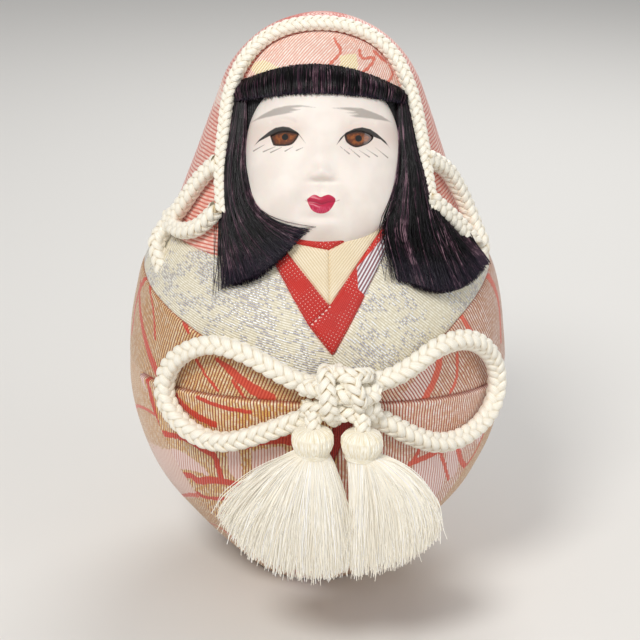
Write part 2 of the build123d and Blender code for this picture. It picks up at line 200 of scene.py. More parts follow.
def on_front(x, z, lift):
    """The point `lift` outside the front of the skin at that x and z."""
    x, z = np.asarray(x, float), np.asarray(z, float)
    r, angle = skin_at(z)
    y = -np.sqrt(np.maximum(r * r - x * x, 0))
    out = np.stack([np.cos(angle) * x / r, np.cos(angle) * y / r, np.sin(angle)], -1)
    return np.stack([x, y, z], -1) + np.asarray(lift)[..., None] * out


def seat(point, lift):
    """A given point, moved along the skin's normal until it is `lift` outside the skin."""
    x, y, z = point
    r = math.hypot(x, y)
    away = np.hypot(PROFILE[:, 0] - r, PROFILE[:, 1] - z)
    best = int(np.argmin(away))
    row = PROFILE[best]
    new = row[:2] + lift * normal(row[2])
    return np.array([x * new[0] / r, y * new[0] / r, new[1]])


# ---- Cloth grid: the skin laid out as columns round the body and rows from base to crown ----
# GP, GN: each grid point's place and outward normal; GU, GV: its lengths round the body and up it
COLUMNS, ROWS = 600, 400
ANGLE = np.linspace(-math.pi, math.pi, COLUMNS + 1)[:-1]
ROW_RUN = np.linspace(0.3, RUN[-1] - 0.4, ROWS)
ROW_R = np.interp(ROW_RUN, RUN, PROFILE[:, 0])[:, None]
ROW_Z = np.interp(ROW_RUN, RUN, PROFILE[:, 1])[:, None]
ROW_A = np.radians(np.interp(ROW_RUN, RUN, PROFILE[:, 2]))[:, None]
GX = ROW_R * np.sin(ANGLE)
GY = -ROW_R * np.cos(ANGLE)
GZ = ROW_Z + 0 * ANGLE
GN = np.stack([np.cos(ROW_A) * np.sin(ANGLE), -np.cos(ROW_A) * np.cos(ANGLE), np.sin(ROW_A) + 0 * ANGLE], -1)
GP = np.stack([GX, GY, GZ], -1)
GU = ROW_R * ANGLE
GV = ROW_RUN[:, None] + 0 * ANGLE
FRONT_EDGE = 8.0 - GY  # the front panels end this far behind the widest line


def inside(outline, x=GX, z=GZ):
    """Signed distance in the x-z view to a closed outline, positive inside."""
    p = np.asarray(outline, float)
    q = np.roll(p, -1, axis=0)
    best = np.full(x.shape, 1e9)
    odd = np.zeros(x.shape, bool)
    for (ax, az), (bx, bz) in zip(p, q):
        ex, ez = bx - ax, bz - az
        t = np.clip(((x - ax) * ex + (z - az) * ez) / max(ex * ex + ez * ez, 1e-9), 0, 1)
        best = np.minimum(best, (x - ax - t * ex) ** 2 + (z - az - t * ez) ** 2)
        if bz != az:
            odd ^= ((az > z) != (bz > z)) & (x < ex * (z - az) / (bz - az) + ax)
    return np.where(odd, 1, -1) * np.sqrt(best)


def near_line(lines, x=GX, z=GZ, front=True):
    """Distance in the x-z view to the nearest of some smooth lines, each (points, half width)."""
    best = np.full(x.shape, 99.0)
    for points, half in lines:
        p = spline(points, 5) if len(points) > 2 else np.asarray(points, float)
        widths = half if np.ndim(half) else (half, half)
        share = np.linspace(0, 1, len(p))
        w = np.interp(share, np.linspace(0, 1, len(widths)), widths)
        for (ax, az), (bx, bz), wa, wb in zip(p, p[1:], w, w[1:]):
            ex, ez = bx - ax, bz - az
            t = np.clip(((x - ax) * ex + (z - az) * ez) / max(ex * ex + ez * ez, 1e-9), 0, 1)
            best = np.minimum(best, np.hypot(x - ax - t * ex, z - az - t * ez) - wa - t * (wb - wa))
    return np.where(GY < 12, best, 99.0) if front else best


def true_distance(d):
    """The x-z distance turned into distance along the skin, so that seams keep their width."""
    column = np.maximum(ROW_R * (ANGLE[1] - ANGLE[0]), 0.05)
    row = ROW_RUN[1] - ROW_RUN[0]
    around = (np.roll(d, -1, 1) - np.roll(d, 1, 1)) / (2 * column)
    up = np.gradient(d, axis=0) / row
    return d / np.clip(np.hypot(around, up), 0.35, 1.2)


SINK, EDGE, TUCKED, PAD = 1.3, 1.5, 0.9, 0.16  # how deep, far and wide an edge is tucked in; uneven padding


def cloth(name, d, lift, marks):
    """A panel over the part of the skin where d > 0, puffed, with its edge tucked into the seam."""
    d = true_distance(d)
    u = np.clip(1 - (d + 0.35) / EDGE, 0, 1)
    lift = lift + PAD * ripple(GX, GY, GZ, len(name), 26)
    t = lift - (lift + SINK) * (1 - np.sqrt(1 - u * u))
    keep = d > -TUCKED
    index = np.full(d.shape, -1)
    pair = keep & np.roll(keep, -1, 1)
    quad = pair[:-1] & pair[1:]
    corner = np.zeros(d.shape, bool)
    corner[:-1] |= quad
    corner[1:] |= quad
    used = corner | np.roll(corner, 1, 1)
    index[used] = np.arange(used.sum())
    r, c = np.nonzero(quad)
    c2 = (c + 1) % COLUMNS
    faces = np.stack([index[r, c], index[r, c2], index[r + 1, c2], index[r + 1, c]], -1)
    points = (GP + t[..., None] * GN)[used]
    values = {"around": GU[used], "along": GV[used], "seam": d[used]}
    values.update({key: field[used] for key, field in marks.items()})
    return mesh_object(name, points, faces, values)


# ---- Shader helper ----
class Shader:
    """A small builder of one material's node tree."""

    def __init__(self, name):
        self.material = bpy.data.materials.new(name)
        self.material.use_nodes = True
        self.tree = self.material.node_tree
        self.bsdf = self.tree.nodes["Principled BSDF"]

    def feed(self, socket, value):
        """Links or sets a socket; a text value is an sRGB hex code."""
        if isinstance(value, bpy.types.NodeSocket):
            self.tree.links.new(value, socket)
        else:
            socket.default_value = rgb(value) if isinstance(value, str) else value

    def node(self, kind, out=0, settings=None, **inputs):
        n = self.tree.nodes.new("ShaderNode" + kind)
        for key, value in (settings or {}).items():
            setattr(n, key, value)
        for key, value in inputs.items():
            socket = n.inputs[int(key[1:])] if key[0] == "i" and key[1:].isdigit() else n.inputs[key]
            self.feed(socket, value)
        return n.outputs[out]

    def mark(self, name):
        return self.node("Attribute", 2, {"attribute_name": name})

    def math(self, operation, a, b=0.0, c=0.0):
        return self.node("Math", 0, {"operation": operation}, i0=a, i1=b, i2=c)

    def times(self, a, b):
        return self.math("MULTIPLY", a, b)

    def scaled(self, value, by, plus):
        return self.math("MULTIPLY_ADD", value, by, plus)

    def ramp(self, value, low, high, to_low=0.0, to_high=1.0):
        smooth = {"interpolation_type": "SMOOTHSTEP"}
        return self.node("MapRange", 0, smooth, i0=value, i1=low, i2=high, i3=to_low, i4=to_high)

    def mix(self, share, a, b):
        n = self.tree.nodes.new("ShaderNodeMix")
        n.data_type = "RGBA"
        self.feed(n.inputs[0], share)
        self.feed(n.inputs[6], a)
        self.feed(n.inputs[7], b)
        return n.outputs[2]

    def noise(self, scale, vector=None, detail=2.0):
        if vector is None:
            vector = self.node("TexCoord", 3)
        return self.node("TexNoise", 0, None, Vector=vector, Scale=scale, Detail=detail)

    def drawn(self, a, by_a, b, by_b, offset, detail):
        """Noise over two marks, each scaled, so that it is drawn out along one of them."""
        where = self.node("CombineXYZ", 0, None, i0=self.times(a, by_a), i1=self.times(b, by_b), i2=offset)
        return self.noise(1.0, where, detail)

    def wave(self, value, pitch):
        """0 to 1 and back over each pitch of a mark in millimetres."""
        return self.scaled(self.math("SINE", self.times(value, TAU / pitch)), 0.5, 0.5)

    def bump(self, height, distance, strength):
        return self.node("Bump", 0, None, Height=height, Strength=strength, Distance=distance * MM)

    def finish(self, color, roughness, normal=None, **extra):
        self.feed(self.bsdf.inputs["Base Color"], color)
        self.feed(self.bsdf.inputs["Roughness"], roughness)
        if normal is not None:
            self.feed(self.bsdf.inputs["Normal"], normal)
        for key, value in extra.items():
            self.feed(self.bsdf.inputs[key.replace("_", " ")], value)
        return self.material


def rgb(code):
    """Linear colour of an sRGB hex code, opaque."""
    parts = [int(code[i : i + 2], 16) / 255 for i in (0, 2, 4)]
    return (*(c / 12.92 if c <= 0.04045 else ((c + 0.055) / 1.055) ** 2.4 for c in parts), 1.0)


# ---- Camera, light and floor ----
def set_stage():
    camera = bpy.data.objects.new("camera", bpy.data.cameras.new("camera"))
    camera.data.lens = 95.5
    camera.data.shift_x = 0.003
    camera.data.shift_y = -0.0377
    tilt = Matrix.Rotation(math.radians(70), 4, "X") @ Matrix.Rotation(math.radians(0.9), 4, "Z")
    camera.matrix_world = Matrix.Translation((0, -0.5638, 0.3052)) @ tilt
    bpy.context.scene.collection.objects.link(camera)
    bpy.context.scene.camera = camera

    def lamp(name, at, size, power, color):
        data = bpy.data.lights.new(name, "AREA")
        data.shape = "DISK"
        data.size = size
        data.energy = power
        data.color = color
        obj = bpy.data.objects.new(name, data)
        aim = (Vector((0, 0, 0.1)) - Vector(at)).to_track_quat("-Z", "Y")
        obj.matrix_world = Matrix.Translation(at) @ aim.to_matrix().to_4x4()
        bpy.context.scene.collection.objects.link(obj)

    lamp("key", (-0.35, -0.75, 0.95), 0.35, 8.6, (1.0, 0.985, 0.96))
    lamp("fill", (0.8, -0.5, 0.45), 0.7, 1.8, (0.98, 0.99, 1.0))
    lamp("rim", (0.2, 0.7, 0.8), 0.6, 4.5, (1.0, 1.0, 1.0))
    world = bpy.data.worlds.new("studio")
    world.use_nodes = True
    world.node_tree.nodes["Background"].inputs[0].default_value = (0.96, 0.96, 0.97, 1)
    world.node_tree.nodes["Background"].inputs[1].default_value = 0.42
    bpy.context.scene.world = world
    bpy.context.scene.view_settings.view_transform = "Standard"

    far = 3000
    corners = [(-far, -far, 0), (far, -far, 0), (far, far, 0), (-far, far, 0)]
    floor = mesh_object("floor", corners, [(0, 1, 2, 3)])
    s = Shader("floor_paint")
    floor.data.materials.append(s.finish("DCDAD6", 0.75))


set_stage()


# ---- Outlines on the front, x and z in millimetres, as in the CAD model ----
def over_arc(a, b, c):
    """Distance above the circle through three points, for arcs that bulge upwards."""
    (ax, az), (bx, bz), (cx, cz) = a, b, c
    d = 2 * (ax * (bz - cz) + bx * (cz - az) + cx * (az - bz))
    a2, b2, c2 = ax * ax + az * az, bx * bx + bz * bz, cx * cx + cz * cz
    mx = (a2 * (bz - cz) + b2 * (cz - az) + c2 * (az - bz)) / d
    mz = (a2 * (cx - bx) + b2 * (ax - cx) + c2 * (bx - ax)) / d
    return np.hypot(GX - mx, GZ - mz) - math.hypot(ax - mx, az - mz)


SEAM, APEX = (7.0, 87.45), (5.0, 103.0)
V_CROSS, V_RIGHT_IN = (3.8, 118.0), (22.0, 141.0)
COLLAR_LEFT_END = (-2.6, 112.1)
UNDER_LOW = (3.3, 133.6)
HOOD_EDGE_Z = 128.0
over_fold = over_arc((-75, 78.5), (3, 87.5), (75, 77))
over_bangs = over_arc((-36, 170), (0, 188.5), (36, 170))
HEM_LOW = 11.0  # the hem's lowest point on the side towards -X; it is lower and flatter towards +X
hem_side = smooth_step(GX, 0, 30)
hem_rise = 0.0205 - 0.003 * hem_side
hem_slope = 2 * hem_rise * np.clip(GX, -60, 60)
above_hem = (GZ - HEM_LOW + 4.5 * hem_side - hem_rise * GX**2) / np.hypot(1, hem_slope)
slit = np.minimum(inside([(5.5, 80), (9, 90), (11.5, 80), (4, 62)]), -2 - GY)
below_neck = inside(
    [(-31, 128), (-12, 132), (4, 138), (24, 142.5), (44, 128), (90, 128), (90, -9), (-90, -9), (-90, 128)]
)
chest_low = inside([(-90, 124), SEAM, (27, 94), (46, 108), (75, 126), (90, 135), (90, 40), (-90, 40)])
red_right = inside([(26.5, 141), APEX, COLLAR_LEFT_END, V_CROSS, V_RIGHT_IN])
red_left = inside([(-15.5, 131), COLLAR_LEFT_END, V_CROSS, (-10.5, 132.5)])
cream_left = inside([(-10.5, 132.5), V_CROSS, UNDER_LOW, (-9, 135.5)])
cream_right = inside([V_CROSS, V_RIGHT_IN, (20.5, 142), UNDER_LOW])
under = inside([(-9, 135.2), UNDER_LOW, (20.5, 141.6), (24, 146), (-12, 146)])
red_right, red_left, cream_left, cream_right, under = (
    np.minimum(field, -2 - GY) for field in (red_right, red_left, cream_left, cream_right, under)
)
opening_low = inside([(-33, 167), (-33, 128), (40, 128), (36, 151), (34, 167)])
over_opening = over_arc((-33, 167), (0.5, 201), (34, 167))
opening = np.where(GZ > 167, -over_opening, opening_low)  # inside the hood's edge cord
opening = np.minimum(opening, -GY - 14 - 0.4 * np.clip(193 - GZ, 0, 60))
head = GZ - HOOD_EDGE_Z


def either(*fields):
    return np.maximum.reduce(fields)


def both(*fields):
    return np.minimum.reduce(fields)


# ---- Pattern lines woven into the cloth: smooth lines through x, z points, with half widths ----
SLEEVE_LINES = [
    ([(-61, 109), (-60.5, 102), (-57.5, 93), (-54, 87), (-51, 83)], (0.7, 1.1, 1.6, 1.3)),
    ([(-56, 117), (-62, 104), (-64.5, 90)], 0.9),
    ([(-57, 112), (-55, 106), (-54, 97)], 0.35),
    ([(-45, 109), (-42, 104)], 0.45),
    ([(-32, 98), (-27, 95), (-21, 91), (-15, 88)], (0.5, 1.1, 1.6, 1.9)),
    ([(-39, 96), (-36, 92), (-32, 88)], 0.35),
    ([(-27, 92), (-23, 87)], 0.35),
    ([(57, 116), (61.5, 106), (63.5, 91)], 1.2),
    ([(47, 109), (51, 102)], 0.7),
    ([(40, 100), (39, 93), (35, 85)], 1.1),
    ([(46, 97), (46, 89), (44, 85)], 0.45),
]
SLEEVE_BLOBS = [
    [(27, 88), (32, 93), (37, 97), (39, 93), (36, 87), (30, 86)],
]
ROBE_LINES = [
    ([(-46, 83), (-44, 80), (-38, 77), (-33, 76)], (0.5, 0.9, 0.9)),
    ([(-38, 84), (-30, 83), (-21, 83)], 0.4),
    ([(-56, 84), (-54.5, 76), (-52.5, 65), (-55, 52), (-57, 43)], 0.75),
    ([(-52, 65), (-43, 67), (-36, 65), (-33, 64), (-31, 56)], 0.75),
    ([(-59, 43), (-54, 42), (-48, 48), (-42, 52), (-39, 51), (-33, 54), (-22, 55)],
     (0.6, 1.3, 1.0, 1.4, 0.8)),
    ([(-62, 53), (-58, 43), (-54, 39)], 0.5),
    ([(-52, 37), (-48, 34), (-41, 44), (-37, 44), (-28, 47)], 0.6),
    ([(-23, 70), (-19, 73), (-10, 75), (-4, 73)], (0.5, 1.3, 1.7, 1.2)),
    ([(31, 63), (41, 65)], 0.85),
    ([(41, 65), (45, 50)], 0.35),
    ([(47, 65), (50, 54), (55, 47)], 0.8),
    ([(56, 53), (60, 61)], 0.8),
    ([(30, 73), (34, 69), (32, 64)], 0.4),
]
ROBE_BLOBS = [
    [(-49.5, 59), (-46, 61.5), (-38, 59), (-35, 55), (-41, 55), (-48.5, 52)],
    [(-29, 67), (-25, 69), (-24, 58), (-28, 59)],
    [(-21, 69), (-10, 72), (-14, 62), (-20, 61)],
    [(-65, 82), (-59, 86), (-56.5, 79), (-56, 69), (-60, 60), (-64.5, 62)],
    [(32, 62), (41, 63), (44, 54), (39, 42), (34, 50)],
    [(43, 64), (47, 64), (48, 53), (45, 51)],
    [(53, 66), (58, 69), (61, 61), (56, 56)],
]
BAND_LINES = [
    ([(4, 195), (6, 192), (3, 189), (0, 186)], 0.35),
    ([(12, 192), (13, 190), (17, 189), (12, 185)], 0.35),
    ([(17, 191), (22, 187), (23, 184), (21, 182)], 0.35),
]
BAND_FLECKS = [
    [(-24, 186), (-18, 188), (-12, 185), (-17, 181)],
    [(6, 191), (11, 191), (11, 186), (6, 187)],
    [(24, 186), (27, 184), (25, 181)],
]


def on_skin(points):
    """Where x, z points of the front view lie on the skin, as its lengths round the body and up it."""
    x, z = np.asarray(points, float).T
    r = skin_at(z)[0]
    around = r * np.arcsin(np.clip(x / r, -0.995, 0.995))
    return np.stack([around, np.interp(z, PROFILE[:, 1], RUN)], -1)


def woven_lines(lines):
    """Distance along the skin to smooth lines that are given in the front view."""
    return near_line([(on_skin(points), half) for points, half in lines], GU, GV)


def blobs(outlines):
    """Signed distance along the skin to smooth outlines of the front view, positive inside."""
    fields = [inside(closed_spline(on_skin(outline)), GU, GV) for outline in outlines]
    return np.where(GY < 12, either(*fields), -50.0)


def veins(seed, size, wide):
    """Distance to long winding lines all over the skin."""
    return size * 0.35 * np.abs(ripple(GX, GY, GZ, seed, size)) - wide


# ---- Cloth materials ----
def brocade(name, colors, pitch, glint, stitch=0.3, seam="93341F"):
    """Ribbed silk with metal threads: woven lines and figures at the marks `line` and `figure`.

    The colors are three of the ribs, the gap's, two of the lines and two of the figures; seam is the colour
    of the painted shade where the edge tucks into its seam.
    """
    *rib, gap, low_line, high_line, low_figure, high_figure = colors.split()
    s = Shader(name)
    warp, weft = s.mark("warp"), s.mark("weft")
    slow = s.noise(90.0)
    rows = s.scaled(slow, 1.6, warp)
    ridge = s.wave(rows, pitch)
    rib_share = s.ramp(ridge, 0.1, 0.62)
    row_number = s.math("FLOOR", s.math("DIVIDE", rows, pitch))
    cross = s.wave(s.scaled(row_number, 0.37, weft), 0.8)
    grain = s.drawn(row_number, 4.3, weft, 0.5, 0.0, 3.0)
    fuzz = s.drawn(row_number, 3.7, weft, 0.8, 5.0, 0.0)
    jag = s.scaled(fuzz, 0.9, -0.45)
    line_mark = s.math("ADD", s.mark("line"), jag)
    in_line = s.ramp(line_mark, -0.1, 0.25, 1.0, 0.0)
    figure_mark = s.math("ADD", s.mark("figure"), s.times(jag, 1.6))
    in_figure = s.ramp(figure_mark, -0.2, 0.3)
    tone = s.ramp(slow, 0.35, 0.65)
    threads = s.mix(s.ramp(grain, 0.44, 0.6), s.mix(tone, rib[0], rib[1]), rib[2])
    ground = s.mix(rib_share, gap, threads)
    ground = s.mix(s.ramp(cross, 0.0, 0.4, stitch, 0.0), ground, gap)
    figures = s.mix(rib_share, low_figure, high_figure)
    ground = s.mix(in_figure, ground, figures)
    lined = s.mix(s.times(ridge, 0.7), low_line, high_line)
    color = s.mix(in_line, ground, lined)
    # painted shade: the cloth darkens towards its edge where it tucks into the seam's groove
    color = s.mix(s.ramp(s.mark("seam"), -0.2, 0.55, 0.7, 0.0), color, seam)
    height = s.scaled(cross, 0.3, ridge)
    height = s.scaled(in_line, 0.6, height)
    height = s.scaled(grain, 0.5, height)
    metal = s.times(s.math("SUBTRACT", 1.0, in_line), glint)
    rough = s.scaled(grain, 0.3, 0.33)
    bump = s.bump(height, 0.22, 0.8)
    return s.finish(color, rough, bump, Metallic=metal, Sheen_Weight=0.3, Sheen_Roughness=0.4)


def silver_cloth():
    """Ivory silk with dashes of silver thread in loose patches; each dash runs from its own grey to near
    white as a painted glint.
    """
    s = Shader("silver_brocade")
    warp, weft = s.mark("warp"), s.mark("weft")
    slow = s.noise(70.0)
    rows = s.scaled(slow, 1.5, warp)
    pitch = 0.8
    row_number = s.math("FLOOR", s.math("DIVIDE", rows, pitch))
    ridge = s.wave(rows, pitch)
    dash = s.drawn(row_number, 5.3, weft, 0.36, 2.0, 1.0)
    patch = s.noise(95.0, None, 1.0)
    share = s.math("ADD", dash, s.scaled(patch, 0.9, -0.45))
    silver = s.times(s.ramp(share, 0.49, 0.58), s.ramp(ridge, 0.3, 0.75))
    cross = s.wave(weft, 0.7)
    grain = s.noise(900.0)
    in_rib = s.ramp(ridge, 0.0, 0.5)
    cream = s.mix(in_rib, "CDC3A6", s.mix(s.ramp(grain, 0.4, 0.62), "E6DEC8", "F4EFE0"))
    # painted glints: a streaky noise turns the silver dashes from grey to near white
    painted_glint = s.drawn(row_number, 9.1, weft, 0.9, 7.0, 0.0)
    thread = s.mix(s.ramp(painted_glint, 0.42, 0.58), "AFABBA", "F8F9FB")
    color = s.mix(silver, cream, thread)
    height = s.scaled(cross, 0.35, s.scaled(silver, 0.8, ridge))
    metal = s.times(silver, 0.25)
    rough = s.scaled(silver, -0.3, 0.6)
    bump = s.bump(height, 0.16, 0.8)
    return s.finish(color, rough, bump, Metallic=metal, Sheen_Weight=0.25, Sheen_Roughness=0.4)


def plain_silk(name, deep, light, pitch, speck=None):
    """Fine ribbed silk, with pale specks where the mark `line` asks for them."""
    s = Shader(name)
    warp, weft = s.mark("warp"), s.mark("weft")
    ridge = s.wave(warp, pitch)
    cross = s.wave(weft, pitch * 1.4)
    slow = s.noise(110.0)
    color = s.mix(ridge, deep, light)
    color = s.mix(s.ramp(slow, 0.3, 0.7, 0.0, 0.45), color, deep)
    if speck is not None:
        dots = s.times(s.wave(warp, 1.1), s.wave(weft, 1.1))
        fine = s.noise(160.0, None, 1.0)
        dots = s.times(dots, s.ramp(fine, 0.35, 0.6, 0.75, 1.0))
        color = s.mix(s.ramp(dots, 0.72, 0.95, 0.0, 0.75), color, speck)
        stripes = s.mix(s.wave(warp, 1.15), "7A2430", "F1F0F4")
        color = s.mix(s.ramp(s.mark("figure"), -0.1, 0.2), color, stripes)
        stitched = s.ramp(s.scaled(s.wave(weft, 1.5), 0.7, s.mark("line")), 0.3, 0.5, 1.0, 0.0)
        color = s.mix(stitched, color, speck)
    height = s.scaled(cross, 0.4, ridge)
    return s.finish(color, 0.55, s.bump(height, 0.14, 0.8), Sheen_Weight=0.3, Sheen_Roughness=0.4)


sleeve_cloth = brocade(
    "sleeve_brocade", "DDB070 E8C48C F4E2BC 9A4B2C BF3420 E8654A B4604F F6DFD4", 1.05, 0.15)
pale_sleeve_cloth = brocade(
    "pale_sleeve_brocade", "DDB996 E9CDB2 F7EADC AE5640 D6503A F2866C B4604F F8E4DC", 1.0, 0.12)
robe_cloth = brocade(
    "robe_brocade", "E6B765 F0D29A FAEBCB 9C4428 BC2C1A E4573C CF9488 F6E0DA", 1.05, 0.15, 0.1)
pale_robe_cloth = brocade(
    "pale_robe_brocade", "E9CCB0 F2DDCB FBF2E8 B5533C CF4632 EE7A60 CF8E84 F8E6E2", 1.05, 0.12, 0.1)
back_cloth = brocade(
    "back_brocade", "E2B77C ECCB9A F7E6C6 AC6440 CF4D36 E9694F D6A294 F4DACD", 0.95, 0.12)
hood_cloth = brocade(
    "hood_brocade", "F0B2A2 F3C0B1 F9D7CA D77262 CC4A36 E2705A F4C4B4 FADFD2", 1.25, 0.06, 0.05, "B4503F")
band_cloth = brocade(
    "band_brocade", "F4CFC0 F8DDD0 FDF0E6 E6A594 D76852 EC927E EACB92 FBF0D2", 0.85, 0.06, 0.05, "C4705E")
silver = silver_cloth()
red_silk = plain_silk("red_silk", "B01810", "DB3022", 0.55, "F4D9D0")
cream_silk = plain_silk("cream_silk", "DCC8A2", "F3E7D0", 0.8)
lining_silk = plain_silk("lining_silk", "7A0E0C", "B32A20", 0.7)
cap_silk = plain_silk("cap_cloth", "08070A", "141016", 0.8)


# ---- Cloth panels ----
def slanted(direction):
    """Thread coordinates in millimetres, across and along threads that run at a slope."""
    a = math.radians(direction)
    return {"warp": GU * math.sin(a) - GV * math.cos(a), "weft": GU * math.cos(a) + GV * math.sin(a)}


def panel(piece, field, lift, slope, marks, material, slot, node):
    """A panel glued over one CAD node."""
    obj = cloth(piece, field, lift, {**slanted(slope), **marks})
    place(obj, material, "root", slot, node)


FAR = 50.0  # a mark this far from its line or figure leaves the cloth plain
plain = {"line": 0 * GX + FAR, "figure": 0 * GX - FAR}
robe_marks = {"line": woven_lines(ROBE_LINES) - 0.25, "figure": blobs(ROBE_BLOBS)}
sleeve_marks = {"line": woven_lines(SLEEVE_LINES) - 0.2, "figure": blobs(SLEEVE_BLOBS)}
striped = inside([(12, 128), (12.5, 122), (16.5, 119), (27, 140), (22, 138)])
red_marks = {"line": near_line([([COLLAR_LEFT_END, V_CROSS], 0.1)]), "figure": striped}
hood_top = near_line([([(-18, 194), (-11, 198), (-4, 199), (6, 199), (8, 198)], 0.5)])
hood_marks = {
    "line": both(hood_top, np.where(GY > 4, veins(17, 46, 0.6), FAR)),
    "figure": ripple(GX, GY, GZ, 8, 34) * 3 - 3.2,
}
band_marks = {"line": near_line(BAND_LINES), "figure": blobs(BAND_FLECKS)}
hem_line = near_line([([(-39, 21), (-33, 25), (-24, 17), (-17, 13)], 0.4)])
back_marks = {
    "line": np.where(GZ < 30, hem_line, veins(21, 50, 0.9)),
    "figure": ripple(GX, GY, GZ, 12, 40) * 4 - 2.6,
}

over_lip = 1.2 * np.exp(-np.clip(-over_fold, 0, 99) / 4.0)
robe_lift = 0.4 + over_lip + 0.7 * np.exp(-np.clip(above_hem, 0, 99) / 2.5)
robe_field = both(-over_fold, above_hem, FRONT_EDGE, -slit)
seam_x = SEAM[0] - GX
panel("robe_left_cloth", both(robe_field, seam_x), robe_lift, 90, robe_marks,
      robe_cloth, "robe_brocade", "robe_front_left")
panel("robe_right_cloth", both(robe_field, -seam_x), robe_lift, 90, robe_marks,
      pale_robe_cloth, "robe_brocade", "robe_front_right")
panel("lining_cloth", both(slit, -over_fold), 0.0, 90, {},
      lining_silk, "lining_red", "robe_lining")

upper = both(below_neck, over_fold, FRONT_EDGE)
sleeve = both(upper, chest_low)
panel("sleeve_left_cloth", both(sleeve, seam_x), 0.15, 69, sleeve_marks,
      sleeve_cloth, "sleeve_brocade", "sleeve_left")
panel("sleeve_right_cloth", both(sleeve, -seam_x), 0.15, 125, sleeve_marks,
      pale_sleeve_cloth, "sleeve_brocade", "sleeve_right")

collars = either(red_left, red_right, cream_left, cream_right, under)
chest = both(upper, -chest_low, -collars)
chest_side = inside([SEAM, APEX, (5, 170), (-90, 170), (-90, 60), (7, 60)])
panel("chest_left_cloth", both(chest, chest_side), 0.1, -12, {},
      silver, "chest_silver", "chest_panel_left")
panel("chest_right_cloth", both(chest, -chest_side), 0.1, -40, {},
      silver, "chest_silver", "chest_panel_right")

panel("red_right_cloth", red_right, 0.9, 60, red_marks,
      red_silk, "collar_red", "red_collar_right")
panel("red_left_cloth", both(red_left, -red_right), 0.6, -52, plain,
      red_silk, "collar_red", "red_collar_left")
panel("cream_left_cloth", both(cream_left, -cream_right - 0.2), 0.3, -52, {},
      cream_silk, "collar_cream", "inner_collar_left")
panel("cream_right_cloth", cream_right, 0.4, 52, {},
      cream_silk, "collar_cream", "inner_collar_right")
panel("under_cloth", both(under, FRONT_EDGE), 0.5, 35, plain,
      red_silk, "collar_red", "under_collar")

panel("hood_cloth", both(head, -opening, -below_neck + 60 * (GY > 8)), 0.25, 4, hood_marks,
      hood_cloth, "hood_brocade", "hood")
panel("band_cloth", both(opening, over_bangs + 1.5), 0.1, 55, band_marks,
      band_cloth, "band_brocade", "forehead_band")
panel("cap_cloth", both(opening, -over_bangs, head + 2, -below_neck), -0.4, 90, {},
      cap_silk, "hair_black", "hair_cap")
panel("back_cloth", both(HOOD_EDGE_Z - GZ, either(-FRONT_EDGE, -above_hem)), 0.0, 90, back_marks,
      back_cloth, "back_gold", "robe_back")


# ---- Face ----
FACE_UP = np.array([0, math.sin(HEAD), math.cos(HEAD)])
FACE_N = np.array([0, -math.cos(HEAD), math.sin(HEAD)])
FACE_X, FACE_Z, FACE_PROUD, FACE_R = 0.8, 156.0, 5.0, 27.5
DOME_START = DOME_C + DOME_R * normal(HEAD_TURN)
FACE_RADIUS = DOME_START[0] + (DOME_START[1] - FACE_Z) * math.tan(HEAD)
FACE_CENTRE = np.array([FACE_X, 0, 0]) + np.array([0, -FACE_RADIUS, FACE_Z]) + (FACE_PROUD - FACE_R) * FACE_N

# outlines painted on the face, with local x along +X and local y up the face
BROWS = [
    [(-23.4, 16.9), (-19.3, 19.3), (-15.6, 21.0), (-11.6, 21.8), (-7.3, 22.0), (-2.2, 21.1), (-6.5, 21.4),
     (-10.3, 21.0), (-7.2, 20.5), (-10.8, 19.8), (-9.4, 19.7), (-12.5, 19.1), (-17.6, 18.3), (-21, 17.6)],
    [(2.6, 21.1), (7.7, 21.5), (12.1, 21.4), (14.8, 20.6), (18.4, 19.4), (22.1, 17.5), (19.3, 17.8),
     (13.9, 18.2), (10.3, 18.4), (8.4, 18.8), (11.0, 19.4), (6.8, 19.7), (10.3, 20.2), (7.3, 20.6)],
]
# the lid outlines take in the painted lid line and, where they are thickest, the painted shadow under the lid
LIDS = [
    [(-22.1, 9.1), (-20.4, 11.1), (-17.3, 13.5), (-15.2, 14.7), (-12.8, 15.1), (-10.8, 14.8), (-8, 13.2),
     (-5.4, 9.6), (-8.2, 13), (-11.6, 13.5), (-14.2, 13.2), (-16.9, 12.2), (-20.4, 10.5)],
    [(4.2, 9.2), (5.5, 11.6), (7.3, 13.4), (9.9, 14.7), (12.4, 15.2), (15, 14.7), (17.2, 13.4), (19.9, 11.2),
     (21.8, 8.6), (20.8, 9.7), (18.4, 11.6), (15.7, 12.5), (13, 13.7), (10.3, 13.9), (7.3, 13)],
]
IRISES = [
    [(-16.8, 12.2), (-15.9, 9.7), (-15.2, 9.1), (-11.6, 9.05), (-9.7, 9.7), (-8.4, 11.3), (-8.0, 12.9),
     (-11.6, 13.6), (-14.2, 13.3)],
    [(6.9, 12.2), (7.7, 10.3), (10.3, 8.9), (13, 9.6), (15, 10.8), (15.9, 12.5), (13, 13.8), (10.3, 14.0),
     (7.3, 13.1)],
]
PUPILS = [(-12.1, 11.8, 1.03), (11.3, 11.7, 1.05)]
LASHES = [
    ((-22.2, 7.5), (-18.6, 9.4)), ((-19, 7.1), (-15.1, 8.7)), ((-16.6, 6.8), (-13, 8.5)),
    ((-12, 7.2), (-9.4, 8.7)), ((-8.4, 7.4), (-6, 8.5)),
    ((8.4, 6.6), (5.3, 9)), ((11.7, 5.7), (8.3, 8.5)), ((14.8, 5.8), (11.5, 7.9)),
    ((17.4, 6.1), (13.9, 8.3)), ((20.8, 5.9), (16.6, 9)),
]
